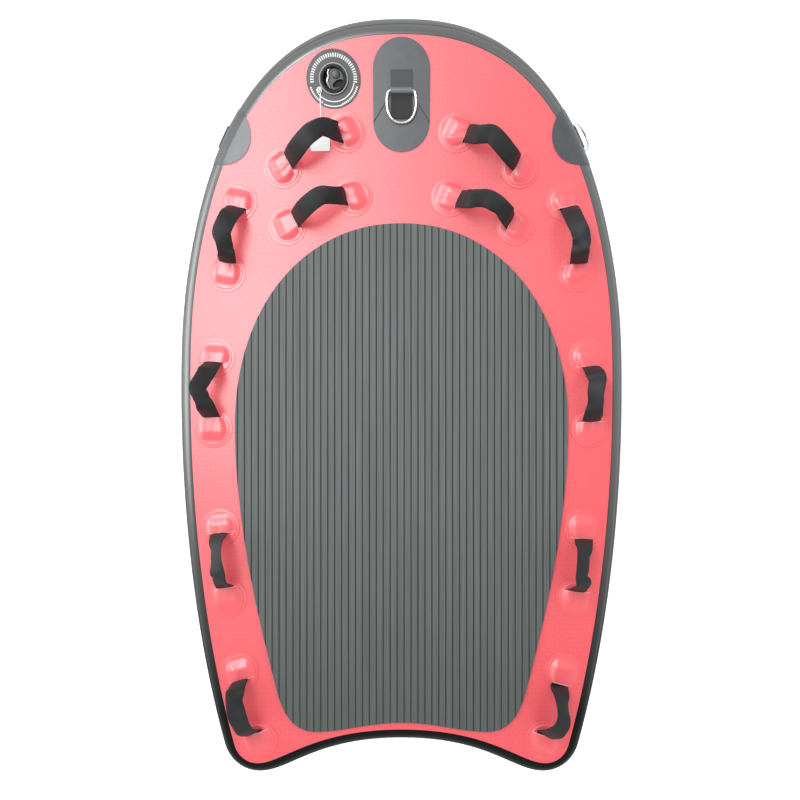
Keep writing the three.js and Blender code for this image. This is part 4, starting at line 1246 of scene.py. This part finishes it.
# %% Bodies
strap_table = {f"{key}_handle_strap": piece for key, piece in straps.items()}
shown = {
    "deck_skin": deck, "bottom_skin": bottom, "side_wall": rail, "traction_pad": pad,
    "nose_tow_patch": nose_patch, "nose_tow_overlay": overlay, "nose_tow_webbing": nose_webbing,
    "nose_tow_ring": nose_ring, "valve_ring_patch": ring_patch, "valve_body": valve_body,
    "valve_nut": nut, "valve_cap_seal": seal, "valve_cap": cap, "valve_poppet": poppet,
    "valve_spring": spring, "swing_tag": card, "tag_string": tag_string, **strap_table, **patches,
}
for way, (patch, strap, d_ring) in shoulder_pieces.items():
    shown[f"{way}_tow_patch"], shown[f"{way}_tow_webbing"] = patch, strap
    shown[f"{way}_tow_ring"] = d_ring
bodies = {
    "nose_tow_ring": "nose_ring", "left_tow_ring": "left_ring", "right_tow_ring": "right_ring",
    "valve_cap_seal": "cap_seal", "valve_cap": "cap", "valve_poppet": "poppet",
}
for node, piece in shown.items():
    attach(piece, bodies.get(node, "board"))
    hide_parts(node)
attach(ticks, "board")
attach(knot, "board")
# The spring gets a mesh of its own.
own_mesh(spring)
left_as_solids = sorted(set(frame["nodes"]) - set(shown))
print("pieces:", len(shown) + 1, "solids still shown:", left_as_solids)

# %% [markdown]
# ## Materials
# Every finish is built from procedural textures on the object's own coordinates, in real sizes. A
# colour code is turned into linear light by one function. Another adds a node with its settings
# and inputs, where an input is either a value or another node's socket. A shader's own sockets are
# set by name in the same way, as in Base_Color=linear("#FFFFFF").


# %% Material helpers
def linear(code):
    """An sRGB colour code as a linear colour with full alpha."""
    parts = [int(code[i:i + 2], 16) / 255 for i in (1, 3, 5)]
    return [p / 12.92 if p <= 0.04045 else ((p + 0.055) / 1.055) ** 2.4 for p in parts] + [1]


def feed(tree, socket, value):
    """Links another node's socket to this one, or sets this one's value."""
    if isinstance(value, bpy.types.NodeSocket):
        tree.links.new(value, socket)
    else:
        socket.default_value = value


def add_node(tree, kind, inputs=None, **settings):
    node = tree.nodes.new(kind)
    for key, value in settings.items():
        setattr(node, key, value)
    for key, value in (inputs or {}).items():
        feed(tree, node.inputs[key], value)
    return node


def dress(made, **sockets):
    """Feeds the shader of a material, whose sockets are named with underscores here."""
    shader = made.node_tree.nodes["Principled BSDF"]
    for key, value in sockets.items():
        feed(made.node_tree, shader.inputs[key.replace("_", " ")], value)


def object_place(tree):
    """The socket with the object's own coordinates, from one node for the whole material."""
    node = tree.nodes.get("Texture Coordinate") or add_node(tree, "ShaderNodeTexCoord")
    return node.outputs["Object"]


# %% [markdown]
# Three patterns come back in many finishes. A fine grain is a bump of noise. A mottle lets the
# colour wander between two codes. The last one darkens a colour towards the tail, as painted shade.
# Sizes are in millimetres, and places along the board in metres.


# %% Patterns
def grain(made, size, strength, depth, detail=3):
    """A fine bump with grains of a size; it also returns the bent normal."""
    tree = made.node_tree
    noise = add_node(tree, "ShaderNodeTexNoise", {
        "Vector": object_place(tree), "Scale": 1000 / size, "Detail": detail})
    bump = add_node(tree, "ShaderNodeBump", {
        "Strength": strength, "Distance": depth * MM, "Height": noise.outputs[0]})
    dress(made, Normal=bump.outputs["Normal"])
    return bump.outputs["Normal"]


def mottle(made, dark, light, size):
    """Lets the colour wander between two codes over patches of a size; it returns that colour."""
    tree = made.node_tree
    noise = add_node(tree, "ShaderNodeTexNoise", {
        "Vector": object_place(tree), "Scale": 1000 / size, "Detail": 4})
    mix = add_node(tree, "ShaderNodeMix", {
        "Factor": noise.outputs[0], "A": linear(dark), "B": linear(light)}, data_type="RGBA")
    dress(made, Base_Color=mix.outputs["Result"])
    return mix.outputs["Result"]


def darker_to_tail(made, colour, dark, start, end, most=1):
    """Mixes in a darker code between two places along the board, as painted shade; it returns the
    share of it.
    """
    tree = made.node_tree
    where = add_node(tree, "ShaderNodeSeparateXYZ", {"Vector": object_place(tree)})
    share = add_node(tree, "ShaderNodeMapRange", {
        "Value": where.outputs["Y"], "From Min": start, "From Max": end, "To Min": 0,
        "To Max": most})
    darker = add_node(tree, "ShaderNodeMix", {
        "Factor": share.outputs[0], "A": colour, "B": linear(dark)}, data_type="RGBA")
    dress(made, Base_Color=darker.outputs["Result"])
    return share.outputs[0]


def material(name, colour, roughness, *grains, **sockets):
    """A material with a colour, a roughness, a grain if its numbers are given, and more sockets."""
    made = bpy.data.materials.get(name) or bpy.data.materials.new(name)
    made.use_nodes = True
    dress(made, Base_Color=linear(colour), Roughness=roughness, **sockets)
    if grains:
        grain(made, *grains)
    return made


# %% [markdown]
# ### Red coated cloth
# The deck's cloth is coated in red plasticised vinyl and embossed with short slanting dashes,
# about 11 mm apart, that lean one way and the other in turn. In each square cell a dash is the
# points near one diagonal. The patches are cut from the same cloth without the dashes.


# %% Dashes
def embossed_dashes(tree, cell):
    """One on a dash and nothing between, for square cells of a size in millimetres."""
    scaled = add_node(tree, "ShaderNodeVectorMath", {
        0: object_place(tree), 1: (1000 / cell, 1000 / cell, 0)}, operation="MULTIPLY")
    corner = add_node(tree, "ShaderNodeVectorMath", {0: scaled.outputs[0]}, operation="FLOOR")
    local = add_node(tree, "ShaderNodeVectorMath", {
        0: scaled.outputs[0], 1: corner.outputs[0]}, operation="SUBTRACT")
    whole = add_node(tree, "ShaderNodeSeparateXYZ", {"Vector": corner.outputs[0]})
    part = add_node(tree, "ShaderNodeSeparateXYZ", {"Vector": local.outputs[0]})
    steps = add_node(tree, "ShaderNodeMath", {0: whole.outputs["X"], 1: whole.outputs["Y"]})
    odd = add_node(tree, "ShaderNodeMath", {0: steps.outputs[0], 1: 2}, operation="FLOORED_MODULO")
    flipped = add_node(tree, "ShaderNodeMath", {0: 1, 1: part.outputs["X"]}, operation="SUBTRACT")
    across = add_node(tree, "ShaderNodeMix", {
        "Factor": odd.outputs[0], "A": part.outputs["X"], "B": flipped.outputs[0]},
        data_type="FLOAT")
    off = add_node(tree, "ShaderNodeMath", {
        0: across.outputs["Result"], 1: part.outputs["Y"]}, operation="SUBTRACT")
    far = add_node(tree, "ShaderNodeMath", {0: off.outputs[0]}, operation="ABSOLUTE")
    near = add_node(tree, "ShaderNodeMapRange", {
        "Value": far.outputs[0], "From Min": 0.1, "From Max": 0.24, "To Min": 1, "To Max": 0})
    middle = add_node(tree, "ShaderNodeMath", {0: part.outputs["Y"], 1: 0.5}, operation="SUBTRACT")
    reach = add_node(tree, "ShaderNodeMath", {0: middle.outputs[0]}, operation="ABSOLUTE")
    inside = add_node(tree, "ShaderNodeMapRange", {
        "Value": reach.outputs[0], "From Min": 0.2, "From Max": 0.34, "To Min": 1, "To Max": 0})
    return add_node(tree, "ShaderNodeMath", {
        0: near.outputs[0], 1: inside.outputs[0]}, operation="MULTIPLY").outputs[0]


# %% Red cloth
vinyl = {"Specular_IOR_Level": 1.0, "Coat_Weight": 0.6, "Coat_Roughness": 0.42}
red_dark, red_light = "#FA4450", "#FE4E5A"
# Vinyl-coated polyester cloth, embossed. Its soft coating gives a broad sheen.
red_cloth = material("red coated cloth", red_light, 0.5, **vinyl)
tree = red_cloth.node_tree
fine_bump = grain(red_cloth, 1.6, 0.25, 0.15)
dashes = embossed_dashes(tree, 11)
emboss = add_node(tree, "ShaderNodeBump", {
    "Strength": 0.55, "Distance": 0.3 * MM, "Height": dashes, "Normal": fine_bump})
wander = mottle(red_cloth, red_dark, red_light, 90)
# The dashes are painted darker, as painted shade in their dips.
shade = add_node(tree, "ShaderNodeMath", {0: dashes, 1: 0.22}, operation="MULTIPLY")
shaded_dashes = add_node(tree, "ShaderNodeMix", {
    "Factor": shade.outputs[0], "A": wander, "B": linear("#D83444")}, data_type="RGBA")
dress(red_cloth, Normal=emboss.outputs["Normal"], Base_Color=shaded_dashes.outputs["Result"])

# The same cloth without the dashes, a little glossier where it is stretched over a strap's end.
hood_cloth = material("smooth red cloth", red_light, 0.45, 1.6, 0.25, 0.15, **vinyl)
mottle(hood_cloth, "#FA4A55", "#FE5863", 30)
# The edge at a hood's mouth, painted paler as a painted highlight.
material("painted mouth highlight", "#FF9DA5", 0.6, 1.2, 0.3, 0.15)
print("nodes of the red cloth:", len(tree.nodes))

# %% [markdown]
# ### Grey cloth
# The rail and the grey patches are the same vinyl cloth in greys. Towards the tail the rail is
# painted darker and less glossy, as painted shade.

# %% Grey cloth
rail_gloss, tail_shade_gloss = 0.8, 0.04
# Vinyl-coated polyester cloth of the rail's middle band.
band_cloth = material("grey rail cloth", "#4C4F4E", 0.5, 1.8, 0.3, 0.2,
                      Specular_IOR_Level=rail_gloss)
# The band is painted darker towards the tail, as painted shade.
band_tail_shade = darker_to_tail(
    band_cloth, mottle(band_cloth, "#464948", "#525554", 120), "#141B18", 0.15, -0.6)
# The seam tape at the deck's edge, painted a lighter grey as a painted highlight, and glossier.
tape_cloth = material("grey seam tape", "#585B5A", 0.3, 1.8, 0.3, 0.15,
                      Specular_IOR_Level=rail_gloss)
# The tape is painted darker towards the tail too, as painted shade.
tape_tail_shade = darker_to_tail(tape_cloth, linear("#585B5A"), "#161D1A", 0, -0.75)
# Both lose their gloss towards the tail along with the painted shade.
for made, tail_shade in ((band_cloth, band_tail_shade), (tape_cloth, tape_tail_shade)):
    matter = add_node(made.node_tree, "ShaderNodeMapRange", {
        "Value": tail_shade, "From Min": 0, "From Max": 1, "To Min": rail_gloss,
        "To Max": tail_shade_gloss})
    dress(made, Specular_IOR_Level=matter.outputs[0])
# Glue and shadow in the line between tape and band.
seam_line = material("dark seam", "#2C2F2E", 0.6, 1.2, 0.2, 0.2)
# Vinyl-coated cloth of the towing patches.
patch_cloth = material("grey patch cloth", "#464A4F", 0.42, 1.8, 0.4, 0.25,
                       Specular_IOR_Level=0.65)
mottle(patch_cloth, "#3F4347", "#505459", 30)
# Its darker batch round the valve.
valve_cloth = material("dark patch cloth", "#3C3F40", 0.46, 1.8, 0.4, 0.25)
# A painted shadow along the cover patch's rear edge.
edge_shadow_paint = material("painted edge shadow", "#121314", 0.5, 1.5, 0.2, 0.1)
print("nodes of the rail's band:", len(band_cloth.node_tree.nodes))

# %% [markdown]
# ### Foam and neoprene
# The foam is matt and evenly grained, and it is streaked along the board by the sanding belt. The
# sleeves are neoprene with a knitted face.

# %% Foam and neoprene
# Closed-cell foam with a sanded face.
pad_foam = material("closed-cell foam", "#5E6464", 0.72, 1.1, 0.5, 0.25, 5)
tree = pad_foam.node_tree
stretched = add_node(tree, "ShaderNodeVectorMath", {
    0: object_place(tree), 1: (420, 3, 1)}, operation="MULTIPLY")
streaks = add_node(tree, "ShaderNodeTexNoise", {
    "Vector": stretched.outputs[0], "Scale": 1, "Detail": 2})
sharper = add_node(tree, "ShaderNodeMapRange", {
    "Value": streaks.outputs[0], "From Min": 0.36, "From Max": 0.64, "To Min": 0, "To Max": 1})
foam_tone = add_node(tree, "ShaderNodeMix", {
    "Factor": sharper.outputs[0], "A": linear("#565C5B"), "B": linear("#676D6C")},
    data_type="RGBA")
# The pad is painted darker towards the tail, as painted shade.
darker_to_tail(pad_foam, foam_tone.outputs["Result"], "#3A403F", -0.2, -0.8, 0.4)
# The milled grooves, painted darker as painted shade.
shaded_groove_foam = material("shaded groove foam", "#3B403F", 0.85, 1.1, 0.5, 0.25, 5)
# Neoprene with a knitted nylon face.
neoprene = material("neoprene sleeve", "#26272A", 0.65, 0.9, 0.5, 0.3, 5, Specular_IOR_Level=0.3)
mottle(neoprene, "#202123", "#2C2D30", 25)
print("nodes of the foam:", len(tree.nodes))

# %% [markdown]
# ### Webbing, card and string
# Webbing has ribs across it, a few to the centimetre. Their bump and their colour both follow one
# wave along the board.


# %% Webbing, card and string
def ribbed(name, dark, light, roughness, rib, strength):
    """A woven material, whose ribs are a wave of a length in millimetres along Y."""
    made = material(name, light, roughness)
    tree = made.node_tree
    wave = add_node(tree, "ShaderNodeTexWave", {
        "Vector": object_place(tree), "Scale": 1000 / rib * 0.314, "Distortion": 0.6,
        "Detail": 1, "Detail Scale": 4}, bands_direction="Y")
    bump = add_node(tree, "ShaderNodeBump", {
        "Strength": strength, "Distance": 0.25 * MM, "Height": wave.outputs[1]})
    mix = add_node(tree, "ShaderNodeMix", {
        "Factor": wave.outputs[1], "A": linear(dark), "B": linear(light)}, data_type="RGBA")
    dress(made, Normal=bump.outputs["Normal"], Base_Color=mix.outputs["Result"])
    return made


# Woven polyester webbing.
grey_webbing = ribbed("grey webbing", "#303335", "#3A3D3F", 0.5, 1.6, 0.3)
# Its rear part behind the ring's bar, painted near black as painted shade.
shaded_rear_webbing = ribbed("shaded rear webbing", "#0D0C0D", "#151415", 0.65, 1.6, 0.3)
# Its hump over the bar, painted lighter as a painted highlight.
highlit_hump_webbing = ribbed("highlit hump webbing", "#6A6E71", "#7A7E81", 0.42, 1.6, 0.3)
# Woven polyester base cloth of the core.
core_cloth = ribbed("drop-stitch cloth", "#C9C9C4", "#DEDEDA", 0.85, 2.5, 0.3)
# Bleached paper board, and the cotton string it hangs on.
card_board = material("white card", "#FAFAF9", 0.6, 0.8, 0.1, 0.1)
cotton = material("white cotton string", "#FAFAF8", 0.8, 0.5, 0.5, 0.3)
# Screen-printed white ink.
ink = material("white print", "#F4F4F4", 0.5, 0.8, 0.1, 0.05)
print("nodes of the webbing:", len(grey_webbing.node_tree.nodes))

# %% [markdown]
# ### Steel, moulded plastic and the inner pieces
# The rings are polished stainless steel, drawn with faint scratches. The valve is glass-filled
# nylon with the soft shine of a moulding. Pieces held inside get their real finish too.

# %% Steel and plastic
moulded = (1.5, 0.12, 0.05)
# Polished stainless steel.
steel = material("polished stainless steel", "#DDE0E2", 0.24, 4, 0.08, 0.05, Metallic=1)
# Drawn spring steel.
spring_steel = material("spring steel", "#B9BCBE", 0.3, 1, 0.1, 0.05, Metallic=1)
# Glass-filled nylon of the valve. The cup is painted near black as painted shade, and the vane and
# the flange's rim are painted lighter as painted highlights.
valve_nylon = material("valve nylon", "#26292B", 0.36, *moulded)
# Painted shade: the cup is near black, so that its finger hole reads as black.
shaded_cup_nylon = material("shaded cup nylon", "#0B0C0D", 0.5, *moulded, Specular_IOR_Level=0.2)
# A painted highlight on the flange's rounded rim.
material("painted rim highlight", "#A9ACAD", 0.3, *moulded)
# Painted highlight: the vane is lighter than the rest of the cap.
material("highlit vane nylon", "#85898B", 0.16, *moulded, Specular_IOR_Level=0.9)
material("plate nylon", "#2C2F31", 0.42, *moulded)
# Moulded rubber of the cap's seal.
seal_rubber = material("seal rubber", "#1E1E1F", 0.7, 1, 0.2, 0.1)
print("materials:", len(bpy.data.materials))

# %% [markdown]
# ## Painting the pieces
# A piece with several finishes gets them in the order of its zones' numbers. Pieces that were
# joined brought theirs along.

# %% Painting
finishes = {
    "deck_skin": [red_cloth], "bottom_skin": [band_cloth],
    "side_wall": [tape_cloth, seam_line, band_cloth], "traction_pad": [pad_foam, shaded_groove_foam],
    "nose_tow_patch": [patch_cloth], "nose_tow_overlay": [patch_cloth, edge_shadow_paint],
    "nose_tow_webbing": [grey_webbing, shaded_rear_webbing, highlit_hump_webbing], "nose_tow_ring": [steel],
    "valve_ring_patch": [valve_cloth], "valve_nut": [valve_nylon], "valve_poppet": [shaded_cup_nylon],
    "valve_cap_seal": [seal_rubber], "valve_spring": [spring_steel], "swing_tag": [card_board],
    "tag_string": [cotton],
}
for way in shoulder_pieces:
    finishes[f"{way}_tow_patch"] = finishes[f"{way}_tow_webbing"] = [patch_cloth]
    finishes[f"{way}_tow_ring"] = [steel]
finishes.update({node: [neoprene] for node in strap_table})
for node, layers in finishes.items():
    paint(shown[node], *layers)
paint(ticks, ink)
paint(knot, cotton)
core = frame["nodes"]["drop_stitch_core"]
core.data.materials.clear()
paint(core, core_cloth)
print("painted pieces:", len(finishes) + 3)

# %% [markdown]
# ## Floor and light
# The board lies on a plain white floor in a bright room, with a window at the upper left and a
# patch of sun in it that draws the handles' shadows. The floor is brighter to the camera than to
# the rest, so that it reads as white paper, and it still shows the board's soft shadow.

# %% Floor
deselect_all()
bpy.ops.mesh.primitive_plane_add(size=9, location=(0, 0, cad_box[0][2] - 0.0005))
floor = just_added("floor")
# Matt white paper.
floor_paint = material("white floor", "#FFFFFF", 0.9)
rays = add_node(floor_paint.node_tree, "ShaderNodeLightPath")
glow = add_node(floor_paint.node_tree, "ShaderNodeMath", {
    0: rays.outputs["Is Camera Ray"], 1: 0.6}, operation="MULTIPLY")
dress(floor_paint, Emission_Color=(1, 1, 1, 1), Emission_Strength=glow.outputs[0])
paint(floor, floor_paint)
print("floor at", round(floor.location.z, 4))

# %% [markdown]
# The walls fill in from all round, and in reflections the ceiling over them is darker. The light
# of the sky is therefore a map of the ray's height, and rays to the camera and to matt surfaces
# keep the walls' level.

# %% Sky
world = bpy.data.worlds.new("daylight")
bpy.context.scene.world = world
world.use_nodes = True
tree = world.node_tree
sky = tree.nodes["Background"]
sky.inputs["Color"].default_value = (1, 1, 1, 1)
direction = add_node(tree, "ShaderNodeTexCoord")
upwards = add_node(tree, "ShaderNodeSeparateXYZ", {"Vector": direction.outputs["Generated"]})
ceiling = add_node(tree, "ShaderNodeMapRange", {
    "Value": upwards.outputs["Z"], "From Min": 0.72, "From Max": 0.98, "To Min": 0.92,
    "To Max": 0.15})
rays = add_node(tree, "ShaderNodeLightPath")
seen_level = add_node(tree, "ShaderNodeMath", {
    0: ceiling.outputs[0], 1: rays.outputs["Is Camera Ray"]}, operation="MAXIMUM")
sky_level = add_node(tree, "ShaderNodeMix", {
    "Factor": rays.outputs["Is Diffuse Ray"], "A": seen_level.outputs[0], "B": 0.9},
    data_type="FLOAT")
feed(tree, sky.inputs["Strength"], sky_level.outputs["Result"])
print("nodes of the sky:", len(tree.nodes))

# %% [markdown]
# Five round lamps light the board: the window, the patch of sun, the room, and two panels that
# only reflections see, which put a sheen on the deck's left and on the left rail.


# %% Lamps
def soft_light(name, place, aim, size, power):
    light = bpy.data.lights.new(name, "AREA")
    light.shape = "DISK"
    light.size = size
    light.energy = power
    lamp = bpy.data.objects.new(name, light)
    bpy.context.scene.collection.objects.link(lamp)
    lamp.location = place
    lamp.rotation_euler = (Vector(aim) - Vector(place)).to_track_quat("-Z", "Y").to_euler()
    return lamp


soft_light("window_light", (-0.95, 1.35, 2.7), (0, 0.1, 0.1), 2.0, 17)
soft_light("sun_patch", (-1.1, 1.2, 2.7), (0, 0, 0.1), 0.35, 12)
soft_light("room_light", (1.2, 1.3, 2.6), (0, 0, 0.1), 0.9, 4)
for lamp in (soft_light("sheen_light", (-0.8, 0.5, 2.7), (-0.3, 0.3, 0.1), 0.8, 42),
             soft_light("left_wall", (-3, 0.6, 0.9), (0, 0.3, 0.15), 2.6, 90)):
    lamp.visible_diffuse = lamp.visible_camera = False
bpy.context.scene.view_settings.view_transform = "Standard"
print("lamps:", len(bpy.data.lights))
